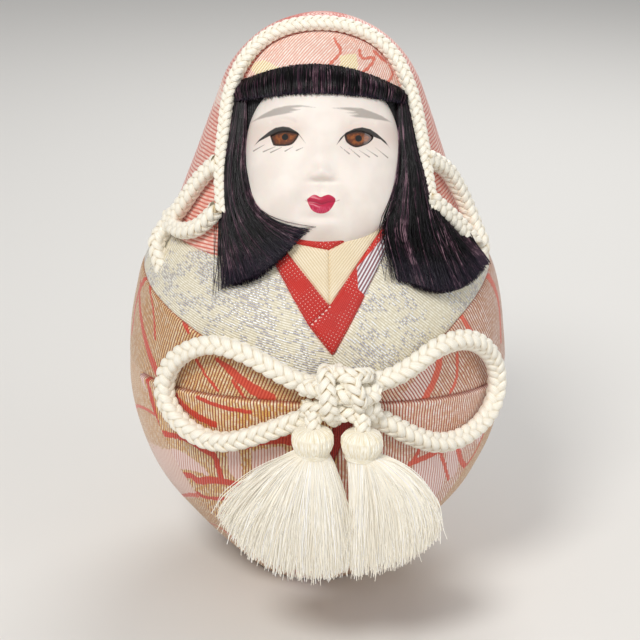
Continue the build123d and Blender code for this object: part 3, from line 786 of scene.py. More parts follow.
LIPS = [
    (-4.8, -8.1), (-3.1, -6.7), (-1.8, -6.7), (-0.5, -7.3), (0.9, -6.75), (2.4, -6.55), (4.2, -7.8),
    (3.6, -9.8), (1.9, -11.9), (-0.5, -12.5), (-2.9, -11.7), (-4.3, -9.65),
]
MOUTH = [(-5.4, -8.3), (-4.4, -8.7), (-2.4, -8.9), (-0.3, -9.5), (1.9, -8.9), (3.9, -8.6), (5.6, -8.1)]
LID_CREASES = [[(-16.1, 16.6), (-12.5, 17.3), (-9.4, 16.6)], [(9.4, 16.6), (12.5, 17.3), (16.1, 16.6)]]


def bell(x, y, at, wide, tall):
    """1 at a place on the face, fading to 0 round it."""
    return np.exp(-(((x - at[0]) / wide) ** 2) - ((y - at[1]) / tall) ** 2)


def face_rho(x, y):
    """0 at the middle of the face and 1 at its rim, an egg that narrows to the chin."""
    wide = np.abs(x) / (25.4 + 0.4 * smooth_step(-y, 0, 14))
    power = 2 + 0.15 * smooth_step(-y, -6, 14)
    return wide**power + np.where(y < 6, (np.abs(y - 6) / 30.2) ** 2.7, (np.abs(y - 6) / 30.0) ** 2.2)


def face_swell(y, rim):
    """How far the plain face stands out, steeper at the rim of the jaw and chin."""
    return 18.3 * rim ** (0.3 - 0.09 * smooth_step(-y, 0, 12))


def face_relief(x, y):
    """Small forms of the face: nose, eye sockets, lips, chin and cheeks."""
    def pair(at_x, at_y, wide, tall, middle=0.0):
        return bell(x, y, (middle - at_x, at_y), wide, tall) + bell(x, y, (middle + at_x, at_y), wide, tall)

    f = 2.5 * bell(x, y, (-0.3, 0.5), 2.6, 2.5) + 0.9 * pair(2.7, -0.5, 1.6, 1.5, -0.3)
    ridge = smooth_step(y, -0.5, 3) * (1 - smooth_step(y, 8, 17))
    f += 0.7 * ridge * np.exp(-((x + 0.2) / 3.0) ** 2)
    f -= 0.95 * pair(12, 11, 7.0, 4.2)
    f += 0.35 * pair(12.5, 15.0, 6, 1.6)
    f -= 0.3 * near_bell(LID_CREASES, x, y, 0.8)
    f += 1.0 * bell(x, y, (-0.3, -8.2), 4.2, 1.6) + 1.15 * bell(x, y, (-0.3, -10.9), 3.4, 1.7)
    f -= 0.55 * near_bell([MOUTH[1:-1]], x, y, 0.55)
    f -= 0.25 * bell(x, y, (-0.3, -4.4), 1.0, 2.0)
    f -= 0.75 * bell(x, y, (-0.3, -13.9), 4.6, 1.3)
    f += 1.6 * bell(x, y, (0, -16.3), 6.0, 3.8)
    f += 1.5 * pair(13, -5, 8, 8)
    f -= 0.7 * bell(x, y, (0, -2.3), 4.0, 0.8)
    return f - 0.5 * pair(7.5, -9, 2.0, 3.0)


def near_bell(lines, x, y, wide):
    """1 on some smooth lines, fading to 0 beside them."""
    d = near_line([(line, 0.0) for line in lines], x, y, front=False)
    return np.exp(-((d / wide) ** 2))


def face_height(x, y):
    """How far the face stands out from its centre, along its normal."""
    rim = np.clip(1 - face_rho(x, y), 0, 1)
    return 9 + face_swell(y, rim) + face_relief(x, y) * smooth_step(rim, 0, 0.25)


def face_point(x, y, n):
    return FACE_CENTRE + np.stack([x, 0 * x, 0 * x], -1) + y[..., None] * FACE_UP + n[..., None] * FACE_N


def face_rays(spokes, rings):
    """Local x and y of rings of points, evenly spaced over the face's curved surface."""
    beyond = 40.0  # past the rim on every side
    xs, ys = [], []
    for a in circle(spokes):
        r = np.linspace(0, beyond, 1200)
        x, y = r * math.cos(a), r * math.sin(a)
        reach = r[np.argmax(face_rho(x, y) >= 1)]
        r = reach * (1 - (1 - np.linspace(0, 1, 500)) ** 2.2)
        x, y = r * math.cos(a), r * math.sin(a)
        rim = np.clip(1 - face_rho(x, y), 0, 1)
        n = face_swell(y, rim)
        run = np.concatenate([[0], np.cumsum(np.hypot(np.diff(r), np.diff(n)))])
        even = np.interp(np.linspace(0, run[-1], rings + 1)[1:], run, r)
        xs.append(even * math.cos(a))
        ys.append(even * math.sin(a))
    return np.array(xs), np.array(ys)


def make_face():
    spokes, rings = 560, 130
    x, y = (np.concatenate([[0.0], part.ravel()]) for part in face_rays(spokes, rings))
    eye = either(*[inside(closed_spline(iris), x, y) for iris in IRISES])
    lid = either(*[inside(outline, x, y) for outline in LIDS])
    n = face_height(x, y) - 1.3 * smooth_step(eye, -0.1, 0.3) + 0.12 * smooth_step(lid, -0.2, 0.3)
    marks = {
        "brow": either(*[inside(outline, x, y) for outline in BROWS]),
        "lid": lid,
        "lips": inside(closed_spline(LIPS), x, y),
        "lash": near_line([(line, (0.16, 0.03)) for line in LASHES], x, y, front=False),
        "mouth": near_line([(MOUTH, (0.01, 0.08, 0.2, 0.08, 0.01))], x, y, front=False),
        "eye": eye,
        "local_x": x,
        "local_y": y,
    }
    faces = closed_quads(1 + numbered(spokes, rings).T, flip=True)
    obj = mesh_object("face_porcelain", face_point(x, y, n), faces, marks)
    fill_middle(obj, spokes, rings)
    return obj


def fill_middle(obj, spokes, rings):
    """Closes the middle of the face with a fan of triangles round its first point."""
    bm = bmesh.new()
    bm.from_mesh(obj.data)
    bm.verts.ensure_lookup_table()
    rim = [bm.verts[1 + i * rings] for i in range(spokes)]
    for a, b in zip(rim, rim[1:] + rim[:1]):
        bm.faces.new((bm.verts[0], a, b)).smooth = True
    bm.normal_update()
    bm.to_mesh(obj.data)
    bm.free()


def face_paint():
    """White shell paint with brushed brows, lids, lashes and lips at the marks of their outlines; the lid
    marks also hold painted shadow under the lids.
    """
    s = Shader("painted_face")
    x, y = s.mark("local_x"), s.mark("local_y")
    fine = s.noise(1800.0)
    slow = s.noise(130.0)
    white = s.mix(s.ramp(slow, 0.35, 0.65), "E6DCD4", "ECE3DB")
    # a darker, warmer tint over the eyelids and eye sockets, fading out towards the brows and the nose
    lid_warm = s.times(s.ramp(y, 6.0, 12.0), s.ramp(y, 14.5, 20.0, 1.0, 0.0))
    side = s.math("ABSOLUTE", x)
    lid_warm = s.times(lid_warm, s.ramp(side, 3.0, 9.0))
    color = s.mix(s.times(lid_warm, 0.35), white, "CDB3A6")
    streak = s.drawn(x, 0.5, y, 6.0, 0.0, 2.0)
    brow_mark = s.scaled(streak, 0.5, s.math("SUBTRACT", s.mark("brow"), 0.25))
    color = s.mix(s.ramp(brow_mark, -0.25, 0.3, 0.0, 0.72), color, "8F8780")
    color = s.mix(s.ramp(s.mark("lash"), -0.02, 0.14, 0.75, 0.0), color, "7C746C")
    # dark lid line, with the painted shadow under the lid in the same mark
    color = s.mix(s.ramp(s.mark("lid"), -0.12, 0.12), color, "33302E")
    color = s.mix(s.ramp(s.mark("eye"), -0.25, 0.0), color, "2A201C")
    lip_streak = s.drawn(x, 4.0, y, 0.5, 3.0, 2.0)
    lower = s.ramp(y, -11.2, -9.6, 1.0, 0.0)
    red = s.mix(s.times(lower, s.ramp(lip_streak, 0.4, 0.7)), "B81A44", "D95678")
    in_lips = s.ramp(s.mark("lips"), -0.12, 0.12)
    color = s.mix(in_lips, color, red)
    color = s.mix(s.ramp(s.mark("mouth"), -0.05, 0.2, 0.7, 0.0), color, "8E1636")
    rough = s.scaled(fine, 0.12, s.scaled(in_lips, -0.2, 0.5))
    bump = s.bump(s.scaled(fine, 0.4, slow), 0.1, 0.35)
    return s.finish(color, rough, bump, Subsurface_Weight=0.12, Subsurface_Scale=0.002)


def make_eye(side, number):
    """A glass eye: a low dome behind the opening in the mask."""
    outline = IRISES[number]
    mid_x, mid_y = np.mean(outline, axis=0)
    rings, spokes = 26, 96
    r = np.linspace(0, 5.6, rings + 1)[:, None]
    x = (mid_x + r * np.cos(circle(spokes))).ravel()
    y = (mid_y + 0.62 * r * np.sin(circle(spokes))).ravel()
    dome = 1 - ((x - mid_x) / 5.8) ** 2 - ((y - mid_y) / 3.8) ** 2
    n = face_height(x, y) - 1.0 + 0.55 * np.clip(dome, 0, 1)
    px, py, pr = PUPILS[number]
    marks = {"pupil": np.hypot(x - px, y - py) - pr, "ring": inside(closed_spline(outline), x, y)}
    faces = closed_quads(numbered(rings + 1, spokes), flip=True)
    return mesh_object(f"glass_eye_{side}", face_point(x, y, n), faces, marks)


def eye_glass():
    s = Shader("eye_glass")
    inner = s.mix(s.ramp(s.noise(900.0), 0.4, 0.65), "6B3312", "94521F")
    edge = s.ramp(s.mark("ring"), 0.1, 1.3)
    color = s.mix(edge, "2C1509", inner)
    color = s.mix(s.ramp(s.mark("pupil"), -0.12, 0.12), "070504", color)
    return s.finish(color, 0.12, None, Coat_Weight=1.0, Coat_Roughness=0.03)


place(make_face(), face_paint(), "root", "face_white", "face_mask")
glass = eye_glass()
for eye_number, eye_side in enumerate(("left", "right")):
    place(make_eye(eye_side, eye_number), glass, "root", "eye_glass", f"eye_{eye_side}")


# ---- Strands: hair and tassel threads, thin three-sided tapering threads ----
def strand_part(paths, radius, tone, tip, seed):
    """Points, faces and marks of many equally divided thread paths, shape (threads, points, 3)."""
    count, steps, _ = paths.shape
    along = unit(np.gradient(paths, axis=1))
    rng = np.random.default_rng(seed)
    first = unit(np.cross(along, rng.normal(size=(count, 1, 3)) + np.zeros((1, steps, 1))))
    second = np.cross(along, first)
    share = np.linspace(0, 1, steps)
    width = (np.reshape(radius, (-1, 1)) * (1 - (1 - tip) * share**3))[..., None]
    turns = TAU * np.arange(3) / 3
    points = np.stack([paths + width * (math.cos(a) * first + math.sin(a) * second) for a in turns], 2)
    shape = (count, steps, 3)
    marks = {
        "tone": np.broadcast_to(np.reshape(tone, (-1, 1, 1)), shape).ravel(),
        "share": np.broadcast_to(share[None, :, None], shape).ravel(),
    }
    return points.reshape(-1, 3), closed_quads(numbered(*shape)), marks


def strands(name, *part):
    """A mesh piece of threads alone."""
    return mesh_object(name, *strand_part(*part))


def lift_over_face(points, gap):
    """Moves points out along the face's normal until they clear the face by a gap."""
    local = points - FACE_CENTRE
    x, y, n = local[..., 0], local @ FACE_UP, local @ FACE_N
    rho = face_rho(x, y)
    top = np.where(rho < 1, face_height(x, y) + gap, 0)
    return points + np.maximum(top - n, 0)[..., None] * FACE_N


def make_bangs():
    """Straight hair over the forehead, from under the band to an even cut."""
    rng = np.random.default_rng(5)
    count, steps = 1500, 12
    s = np.sort(rng.uniform(0, 1, count))
    layer = rng.uniform(0, 1, count)
    share = np.linspace(0, 1, steps)[None, :]
    top_x = -27.6 + 55.0 * s
    top_z = 188.3 - 8.6 * np.abs(top_x / 26.4) ** 2 - 0.03 * top_x + rng.normal(0, 0.15, count)
    low_x = -25.6 + 51.2 * s + rng.normal(0, 0.3, count)
    low_z = 180.2 - 4.4 * np.abs(low_x / 24.0) ** 2 + rng.normal(0, 0.25, count) - 0.4 * layer
    x = top_x[:, None] + (low_x - top_x)[:, None] * share
    z = top_z[:, None] + (low_z - top_z)[:, None] * share
    bulge = np.sin(np.clip(share * 1.25, 0, 1) * math.pi * 0.6)
    lift = 0.5 + (0.5 + 1.9 * layer)[:, None] * bulge + 0.5 * share
    points = on_front(x, z, lift)
    points = lift_over_face(points, 0.35 + 1.0 * layer[:, None] * share)
    radius = 0.15 + 0.05 * rng.uniform(size=count)
    return strands("bangs_hair", points, radius, rng.uniform(size=count), 0.6, 5)


# the two edges of each lock from the temple to the cut, x and z
LOCK_LEFT = (
    [(-27.6, 179.5), (-28.7, 164), (-30.1, 151), (-30.3, 137), (-28.0, 120.5)],
    [(-23.8, 178.5), (-23.7, 165), (-23.4, 155), (-20.8, 145.5), (-15.0, 140.5), (-5.5, 137)],
)
LOCK_RIGHT = (
    [(24.2, 178.5), (24.8, 163), (24.6, 155), (23.4, 146), (22.2, 137), (26.4, 122.5)],
    [(27.8, 179.5), (31.4, 160), (35.0, 149), (40.5, 138), (47.5, 128), (55.0, 119)],
)


def make_lock(name, edges, count, seed):
    """A lock of threads between two edges, clumped, with a few strays and a rounded cut."""
    rng = np.random.default_rng(seed)
    steps = 18
    first, second = (spline(edge, 8) for edge in edges)
    share = np.linspace(0, 1, steps)
    first, second = (along_line(share, np.linspace(0, 1, len(edge)), edge) for edge in (first, second))
    s = rng.uniform(0, 1, count)
    layer = rng.uniform(0, 1, count)
    end = 1.02 - np.abs(rng.normal(0, 0.035, count))
    v = share[None, :] * end[:, None]
    clump = np.sin(s * 61 + 2.0 * np.sin(s * 23))
    drift = s[:, None] + (rng.normal(0, 0.075, count) + 0.02 * clump)[:, None] * v
    drift = drift + 0.028 * np.sin(v * 9 + rng.uniform(0, TAU, count)[:, None])
    stray = rng.uniform(size=count) < 0.05
    drift[stray] += (rng.normal(0, 0.2, stray.sum()))[:, None] * v[stray] ** 3
    drift = np.clip(drift, -0.2, 1.25)
    a = along_line(v, share, first)
    xz = a + (along_line(v, share, second) - a) * drift[..., None]
    xz[..., 1] -= 3.6 * np.sin(math.pi * np.clip(drift, 0, 1)) * v**4
    limit = 0.94 * skin_at(xz[..., 1])[0]
    xz[..., 0] = np.clip(xz[..., 0], -limit, limit)
    crown = np.sqrt(np.clip(1 - (2 * drift - 1) ** 2, 0.05, 1))
    thick = 1.0 + 2.8 * smooth_step(v, 0.0, 0.45)
    lift = 0.9 + thick * crown * layer[:, None] + 1.2 * v**3 * layer[:, None]
    points = on_front(xz[..., 0], xz[..., 1], lift)
    points = lift_over_face(points, 0.3 + 1.0 * layer[:, None] * crown)
    tone = np.clip(0.25 * clump + rng.uniform(size=count) * 0.9 + 0.05, 0, 1)
    return strands(name, points, 0.13 + 0.06 * rng.uniform(size=count), tone, 0.5, seed)


def hair_shader():
    s = Shader("black_hair")
    tone, share = s.mark("tone"), s.mark("share")
    # painted highlights: strands picked by tone and a patchy noise turn lighter, through deep violet and
    # purple-brown to pale mauve
    patch = s.noise(260.0, None, 3.0)
    painted_glint = s.scaled(s.math("SUBTRACT", patch, 0.5), 0.9, tone)
    color = s.mix(s.ramp(painted_glint, 0.45, 0.8), "040304", "18121D")
    color = s.mix(s.ramp(painted_glint, 0.7, 0.95), color, "4E3040")
    color = s.mix(s.ramp(painted_glint, 0.97, 1.12), color, "9A7884")
    color = s.mix(s.ramp(share, 0.85, 1.0, 0.0, 0.4), color, "3A3346")
    return s.finish(color, 0.36, None, Specular_IOR_Level=0.3)


hair_black = hair_shader()
place(make_bangs(), hair_black, "root", "hair_black", "hair_bangs")
place(make_lock("lock_left_hair", LOCK_LEFT, 1850, 11), hair_black, "root", "hair_black", "hair_lock_left")
place(make_lock("lock_right_hair", LOCK_RIGHT, 1900, 12), hair_black, "root", "hair_black", "hair_lock_right")


# ---- Braided cords ----
def even_line(points, gap):
    """Evenly spaced points along the NURBS spline of a route in millimetres."""
    curve = bpy.data.curves.new("route", "CURVE")
    curve.dimensions = "3D"
    line = curve.splines.new("NURBS")
    line.points.add(len(points) - 1)
    for point, where in zip(line.points, points):
        point.co = (*[float(c) * MM for c in where], 1.0)
    line.order_u = 3
    line.use_endpoint_u = True
    line.resolution_u = 24
    holder = bpy.data.objects.new("route", curve)
    bpy.context.scene.collection.objects.link(holder)
    mesh = bpy.data.meshes.new_from_object(holder)
    run = np.array([v.co for v in mesh.vertices]) / MM
    bpy.data.objects.remove(holder)
    bpy.data.curves.remove(curve)
    bpy.data.meshes.remove(mesh)
    along = np.concatenate([[0], np.cumsum(np.linalg.norm(np.diff(run, axis=0), axis=1))])
    where = np.linspace(0, along[-1], max(int(along[-1] / gap), 8) + 1)
    return along_line(where, along, run), where


def frames_along(run):
    """Tangents and two side directions that turn as little as possible along a line."""
    tangent = unit(np.gradient(run, axis=0))
    side = unit(np.cross(tangent[0], [0.3, 0.5, 0.9]))
    sides = []
    for t in tangent:
        side = unit(side - t * np.dot(side, t))
        sides.append(side)
    sides = np.array(sides)
    return tangent, sides, np.cross(tangent, sides)


def braid_part(points, diameter, phase=0.0):
    """Points, faces and marks of an eight-strand round braid along a route."""
    scale = diameter / 7.0
    pitch = 14.5 * scale
    run, where = even_line(points, pitch / 30)
    _, side, other = frames_along(run)
    turn = TAU * where / pitch
    shape = (len(run), 10)
    ring = circle(shape[1])
    out_points, fibre, depth = [], [], []
    for sign in (1, -1):
        for k in range(4):
            angle = sign * turn + k * math.pi / 2 + phase
            wave = np.cos(2 * turn - sign * math.pi / 4 + k * math.pi)
            radius = (2.02 + sign * 0.68 * wave) * scale
            out = np.cos(angle)[:, None] * side + np.sin(angle)[:, None] * other
            centre = run + radius[:, None] * out
            along = unit(np.gradient(centre, axis=0))
            across = unit(np.cross(along, out))
            lean = np.cross(across, along)
            swell = 1 + 0.1 * sign * wave
            half_w = 1.36 * scale * swell
            thick = (0.8 * scale * swell)[:, None] * np.sin(ring)
            wide = (half_w[:, None] * np.cos(ring))[..., None] * across[:, None]
            out_points.append((centre[:, None] + wide + thick[..., None] * lean[:, None]).reshape(-1, 3))
            fibre.append(np.broadcast_to(np.cos(ring)[None] * half_w.mean(), shape).ravel())
            depth.append(((radius[:, None] + thick) / (3.46 * scale)).ravel())
    length = np.tile(np.repeat(where, shape[1]), len(out_points))
    marks = {"fibre": np.concatenate(fibre), "length": length, "depth": np.concatenate(depth)}
    return np.concatenate(out_points), closed_quads(numbered(len(out_points), *shape)), marks


def joined(name, parts):
    """One mesh piece from several parts, each its points, faces and marks."""
    points, faces, marks = zip(*parts)
    starts = np.cumsum([0] + [len(p) for p in points])
    faces = np.concatenate([f + start for f, start in zip(faces, starts)])
    marks = {key: np.concatenate([m[key] for m in marks]) for key in marks[0]}
    return mesh_object(name, np.concatenate(points), faces, marks)


def cord_shader():
    """Ivory silk strands, with painted shade where they dive under each other."""
    s = Shader("ivory_braid")
    fibre, length, depth = s.mark("fibre"), s.mark("length"), s.mark("depth")
    thread = s.drawn(fibre, 7.0, length, 0.5, 0.0, 2.0)
    ridge = s.wave(s.scaled(thread, 0.25, fibre), 0.42)
    light = s.mix(s.ramp(thread, 0.35, 0.65), "F3EAD4", "FDF9EE")
    # painted shade: yellowish darkening deeper inside the braid
    color = s.mix(s.ramp(depth, 0.5, 0.95), "C4A972", light)
    color = s.mix(s.times(ridge, 0.3), color, "FFFDF6")
    height = s.scaled(thread, 0.7, ridge)
    # painted light: a faint warm emission brightens the braid
    return s.finish(color, 0.36, s.bump(height, 0.12, 0.7), Sheen_Weight=0.4, Sheen_Roughness=0.35,
                    Emission_Color=(1.0, 0.94, 0.82, 1.0), Emission_Strength=0.05)


HOOD_CORD = [
    (-31, -38, 142), (-32, -33, 151), (-32, -29, 159), (-31, -25, 168), (-30, -21, 176),
    (-27, -18, 185), (-21, -15, 193), (-12, -14, 198), (-2, -15, 200), (8, -15, 200),
    (17, -15, 196), (24, -17, 190), (28, -20, 183), (31, -22, 175), (32, -24, 167),
    (34, -27, 159), (35, -30, 151), (37, -33, 143),
]
SIDE_TAIL_LEFT = [
    (-33, -30, 157), (-39, -27, 152), (-43, -24, 144), (-48, -21, 136), (-53, -17, 129),
    (-56, -20, 124), (-57, -27, 118),
]
SIDE_LOOP_LEFT = [
    (-33, -37, 143), (-38, -36, 137), (-44, -31, 133), (-50, -23, 132), (-52, -17, 135),
]
SIDE_TAIL_RIGHT = [
    (35, -28, 159), (41, -21, 155), (46, -16, 147), (50, -13, 138), (53, -14, 130),
    (56, -18, 124), (57, -24, 119),
]
SIDE_LOOP_RIGHT = [
    (36, -33, 147), (41, -30, 142), (47, -25, 136), (52, -22, 128),
]
BOW_LEFT = [
    (2, -69, 95), (-6, -69, 96), (-14, -67, 100), (-23, -64, 104), (-34, -59, 105), (-44, -53, 99),
    (-50, -50, 90), (-49, -50, 80), (-41, -57, 73), (-30, -63, 72), (-19, -67, 77), (-9, -69, 82),
    (2, -70, 87),
]
BOW_RIGHT = [
    (14, -69, 95), (22, -66, 96), (30, -62, 99), (38, -56, 104), (48, -48, 104), (56, -40, 97),
    (61, -36, 86), (59, -39, 75), (51, -48, 70), (40, -57, 70), (30, -63, 76), (21, -67, 83),
    (13, -69, 87),
]


TUCK = -3.5  # lift of a cord's end that is tucked under the cloth


def seated(route, lift, tuck):
    """The route laid on the skin; a tucked one dives under the cloth at its last point."""
    lifts = [lift] * (len(route) - 1) + [TUCK if tuck else lift]
    return [seat(point, away) for point, away in zip(route, lifts)]


cord_silk = cord_shader()


def cord_piece(name, node, routes, diameter, gap, tuck=False):
    """Braids along one or more routes, joined into the piece that stands for a CAD node."""
    parts = [
        braid_part(seated(route, diameter / 2 + gap, tuck and i == 0), diameter, 0.4 * i)
        for i, route in enumerate(routes)
    ]
    place(joined(name, parts), cord_silk, "root", "cord_silk", node)


cord_piece("hood_cord_braid", "hood_cord", [HOOD_CORD], 5.0, 0.7)
cord_piece("side_braid_left", "side_loop_left", [SIDE_TAIL_LEFT, SIDE_LOOP_LEFT], 6.0, 0.7, tuck=True)
cord_piece("side_braid_right", "side_loop_right", [SIDE_TAIL_RIGHT, SIDE_LOOP_RIGHT], 6.0, 0.7, tuck=True)
cord_piece("bow_braid_left", "bow_loop_left", [BOW_LEFT], 7.0, 1.4)
cord_piece("bow_braid_right", "bow_loop_right", [BOW_RIGHT], 7.0, 1.4)

KNOT_RUNS = [
    ([(-4, -72, 95.5), (2, -76, 96.5), (8, -78, 95.5), (14, -76.5, 93.5), (19, -72, 94)], 6.4),
    ([(-4, -72, 88.5), (2, -76, 89), (8, -77.5, 89.5), (14, -75.5, 88), (19, -71, 88)], 6.2),
    ([(3, -70, 100), (2.5, -75, 102), (3, -79, 99.5), (3.5, -80.6, 94.5), (4.5, -79.5, 89), (6, -74, 86)],
     6.0),
    ([(12, -71, 90), (13.5, -77, 91), (13, -80, 96), (10.5, -77.5, 101), (6, -71, 101)], 5.6),
    ([(16, -70, 99), (14, -75, 101), (9, -77, 101.5), (5, -73, 101)], 5.6),
]
knot_parts = [braid_part(route, wide, i) for i, (route, wide) in enumerate(KNOT_RUNS)]
place(joined("knot_braid", knot_parts), cord_silk, "root", "cord_silk", "bow_knot")


# ---- Tassels ----
# where each tassel hangs, x and z, and the left, right and lower ends of its skirt, as in the CAD model
TASSELS = {"left": (-1.0, 85.4, -31.0, 12.0, 34.0), "right": (14.5, 84.8, 13.0, 40.0, 36.0)}
TASSEL_Y, HEAD_DROP, HEAD_HALF = -79.0, 6.2, 5.6
SWING_OUT = {"left": 1.35, "right": 2.2}  # how soon the outer threads swing outwards
NECK_DROP = HEAD_DROP + HEAD_HALF * 0.75
SILK_GLOW = (1.0, 0.95, 0.86, 1.0)  # painted light: an emission colour that stands in for light passed on from thread to thread


def tassel_head(side):
    """A head of gathered threads: a ribbed dome drawn in at the top and at its neck."""
    x, z, *_ = TASSELS[side]
    rows, spokes = 60, 220
    t = np.linspace(0, 1, rows)[:, None]
    angle = circle(spokes)[None]
    rng = np.random.default_rng(31 if side == "left" else 32)
    ribs = 0
    for k in (19, 31, 43):
        ribs = ribs + np.sin(k * angle + rng.uniform(0, TAU) + 0.8 * np.sin(3 * t + rng.uniform(0, TAU)))
    dome = np.interp(t, [0, 0.05, 0.13, 0.3, 0.55, 0.8, 1.0], [2.0, 4.0, 5.5, 6.4, 6.5, 5.9, 5.0])
    r = dome + 0.13 * ribs * np.sin(math.pi * np.clip(t, 0.02, 0.98)) ** 0.5
    height = z - 0.4 - 9.0 * t + 0 * angle
    points = np.stack([x + r * np.cos(angle), TASSEL_Y + 0.96 * r * np.sin(angle), height], -1)
    marks = {"fibre": (angle * 5.5 + 0 * t).ravel(), "length": (8.6 * t + 0 * angle).ravel()}
    faces = closed_quads(numbered(rows, spokes))
    return mesh_object(f"tassel_{side}_head_threads", points.reshape(-1, 3), faces, marks)


def tassel_binding(side):
    """Thread wound several times round the neck of the tassel."""
    x, z, *_ = TASSELS[side]
    turns, per = 5, 60
    t = np.linspace(0, turns * TAU, turns * per)
    height = z - NECK_DROP + 2.2 - 1.6 * t / t[-1]
    run = np.stack([x + 5.2 * np.cos(t), TASSEL_Y + 5.1 * np.sin(t), height], -1)
    _, first, second = frames_along(run)
    count, thread_r = 8, 0.24
    ring = circle(count)[None, :, None]
    points = run[:, None] + thread_r * (np.cos(ring) * first[:, None] + np.sin(ring) * second[:, None])
    marks = {"fibre": np.tile(thread_r * circle(count), len(t)), "length": np.repeat(t * 5.5, count)}
    faces = closed_quads(numbered(len(t), count))
    return mesh_object(f"tassel_{side}_binding_thread", points.reshape(-1, 3), faces, marks)


def skirt_paths(side, u, w, v, swing, jitter, cut):
    """Where threads run from the neck to the cut edge; u and w place them across and front to back."""
    x, z, left, right, bottom = TASSELS[side]
    top_z = z - NECK_DROP + 1.6
    end_x = x + np.where(u < 0, x - left, right - x) * np.sign(u) * np.abs(u) ** 0.9 + jitter
    rise = 1 - (1 - np.sqrt(1 - 0.82 * np.clip(np.abs(end_x - x) / 33.0, 0, 1) ** 2)) * 1.1
    end_z = top_z - (top_z - bottom) * rise * cut
    start_x, start_y = x + 4.8 * u, TASSEL_Y + 4.8 * w
    px = start_x[:, None] + (end_x - start_x)[:, None] * (1 - (1 - v) ** swing[:, None])
    py = start_y[:, None] + (TASSEL_Y + 5.2 * w - 0.6 - start_y)[:, None] * v
    py = py + 1.2 * w[:, None] * np.sin(v * math.pi) ** 0.8
    pz = top_z + (end_z - top_z)[:, None] * (0.25 * v + 0.75 * v**1.3)
    return np.stack([px, py, pz], -1)


def swing_of(side, u):
    outward = u * (1 if side == "right" else -1)
    return 1.5 + (SWING_OUT[side] - 1.5) * smooth_step(outward, -0.1, 0.3)


def tassel_skirt(side):
    """Loose silk threads that fan out from the neck to an uneven cut edge, over a full body of threads."""
    rng = np.random.default_rng(41 if side == "left" else 42)
    count, steps = 2250, 15
    angle = rng.uniform(0, TAU, count)
    rim = rng.uniform(0.62, 1, count) ** 0.6
    u, w = rim * np.cos(angle), rim * np.sin(angle)
    v = np.linspace(0, 1, steps)[None, :]
    swing = swing_of(side, u) + rng.normal(0, 0.12, count)
    cut = rng.choice([1.0, 0.97, 0.93], count) + rng.normal(0, 0.02, count)
    points = skirt_paths(side, u, w, v, swing, rng.normal(0, 0.6, count), cut)
    waves = rng.uniform(0, TAU, (count, 4))
    size = rng.uniform(0.5, 1.7, (count, 1)) * v
    points[..., 0] += size * (0.5 * np.sin(6 * v + waves[:, :1]) + 0.24 * np.sin(15 * v + waves[:, 1:2]))
    points[..., 1] += size * (0.35 * np.sin(8 * v + waves[:, 3:4]) + 0.15 * np.sin(19 * v + waves[:, :1]))
    points[..., 2] += size * 0.3 * np.sin(9 * v + waves[:, 2:3])
    loose = rng.uniform(size=count) < 0.05
    points[loose, :, 0] += rng.normal(0, 2.4, loose.sum())[:, None] * v**2
    points[loose, :, 1] -= np.abs(rng.normal(0, 1.0, loose.sum()))[:, None] * v**1.5
    threads = strand_part(points, 0.14 + 0.05 * rng.uniform(size=count), rng.uniform(size=count), 0.7, 7)

    spokes = 120
    fill_u, fill_w = 0.84 * np.cos(circle(spokes)), 0.84 * np.sin(circle(spokes))
    body = skirt_paths(side, fill_u, fill_w, v, swing_of(side, fill_u), 0.0, 0.93)
    body += rng.normal(0, 0.12, body.shape) * v[..., None]
    edge = body[:, -1:]
    middle = np.mean(edge, axis=0)
    rings = np.concatenate([body, middle + 0.5 * (edge - middle), 0 * edge + middle], 1)
    tone = rng.uniform(0.2, 0.8, (spokes, 1)) + 0 * rings[..., 0]
    share = np.clip(np.arange(steps + 2) / (steps - 1), 0, 1)[None] + 0 * tone
    faces = closed_quads(numbered(spokes, steps + 2).T)
    filling = (rings.reshape(-1, 3), faces, {"tone": tone.ravel(), "share": share.ravel()})
    return joined(f"tassel_{side}_skirt_threads", [threads, filling])


def tassel_neck(side):
    """The short braided cord end that the tassel hangs from."""
    x, z, *_ = TASSELS[side]
    bends = [(0.2, 1.6, 3.6), (0, 0.6, 1.5), (0, 0, -0.6), (0, 0, -2.2)]
    route = [(x + dx, TASSEL_Y + dy, z + dz) for dx, dy, dz in bends]
    return joined(f"tassel_{side}_neck_braid", [braid_part(route, 5.4)])


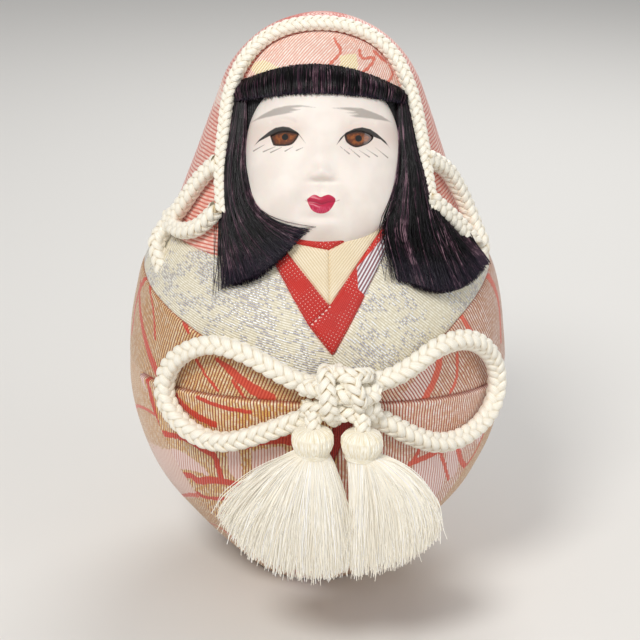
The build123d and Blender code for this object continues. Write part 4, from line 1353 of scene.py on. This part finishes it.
def thread_shader():
    s = Shader("tassel_silk")
    tone, share = s.mark("tone"), s.mark("share")
    color = s.mix(tone, "F0E8D6", "FCF9F0")
    # painted shade: the threads darken where they come out from under the head
    color = s.mix(s.ramp(share, 0.0, 0.2, 0.3, 0.0), color, "D6C49C")
    color = s.mix(s.ramp(tone, 0.85, 1.0), color, "FFFFFF")
    # painted light: the threads give off a faint warm emission
    return s.finish(color, 0.38, None, Sheen_Weight=0.5, Sheen_Roughness=0.3,
                    Emission_Color=SILK_GLOW, Emission_Strength=0.13)


def head_shader():
    s = Shader("gathered_silk")
    fibre, length = s.mark("fibre"), s.mark("length")
    thread = s.drawn(fibre, 4.5, length, 0.35, 0.0, 3.0)
    color = s.mix(s.ramp(thread, 0.36, 0.62), "E6D9B8", "FCF8EC")
    # painted light: the gathered threads give off a faint warm emission
    return s.finish(color, 0.36, s.bump(thread, 0.3, 0.8), Sheen_Weight=0.4, Sheen_Roughness=0.3,
                    Emission_Color=SILK_GLOW, Emission_Strength=0.06)


skirt_silk = thread_shader()
head_silk = head_shader()
for swing_side in TASSELS:
    node = f"tassel_{swing_side}"
    swinging = f"{swing_side}_tassel"
    place(tassel_head(swing_side), head_silk, swinging, "tassel_silk", node + "_head")
    place(tassel_binding(swing_side), head_silk, swinging, "binding_thread", node + "_binding")
    place(tassel_skirt(swing_side), skirt_silk, swinging, "tassel_silk", node + "_skirt")
    place(tassel_neck(swing_side), cord_silk, f"{swing_side}_bead", "cord_silk", node + "_bead")


# ---- CAD nodes that keep their shape ----
def simple(name, dark, light, scale, rough, bump=0.1, **extra):
    """A mottled surface with a fine grain."""
    s = Shader(name)
    grain = s.noise(scale, None, 4.0)
    color = s.mix(s.ramp(grain, 0.35, 0.65), dark, light)
    return s.finish(color, rough, s.bump(grain, bump, 0.6), **extra)


KEPT = {
    "core_front_shell": simple("pressed_paper", "8E7B5F", "B7A27F", 300.0, 0.85),
    "base_plug": simple("plug_wood", "9A6B3F", "C2935F", 160.0, 0.7),
    "ballast_weight": simple("cast_iron", "3A3A3C", "56565A", 500.0, 0.55, Metallic=0.9),
    "base_cover": simple("base_felt", "6E1512", "9A2620", 900.0, 0.9, Sheen_Weight=0.4),
    "bow_anchor_pin": simple("pin_steel", "A9ABAE", "C9CBCE", 900.0, 0.3, 0.02, Metallic=1.0),
}
KEPT["core_back_shell"] = KEPT["core_front_shell"]
for node, finish in KEPT.items():
    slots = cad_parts[node].data.materials
    slots.clear()
    slots.append(finish)
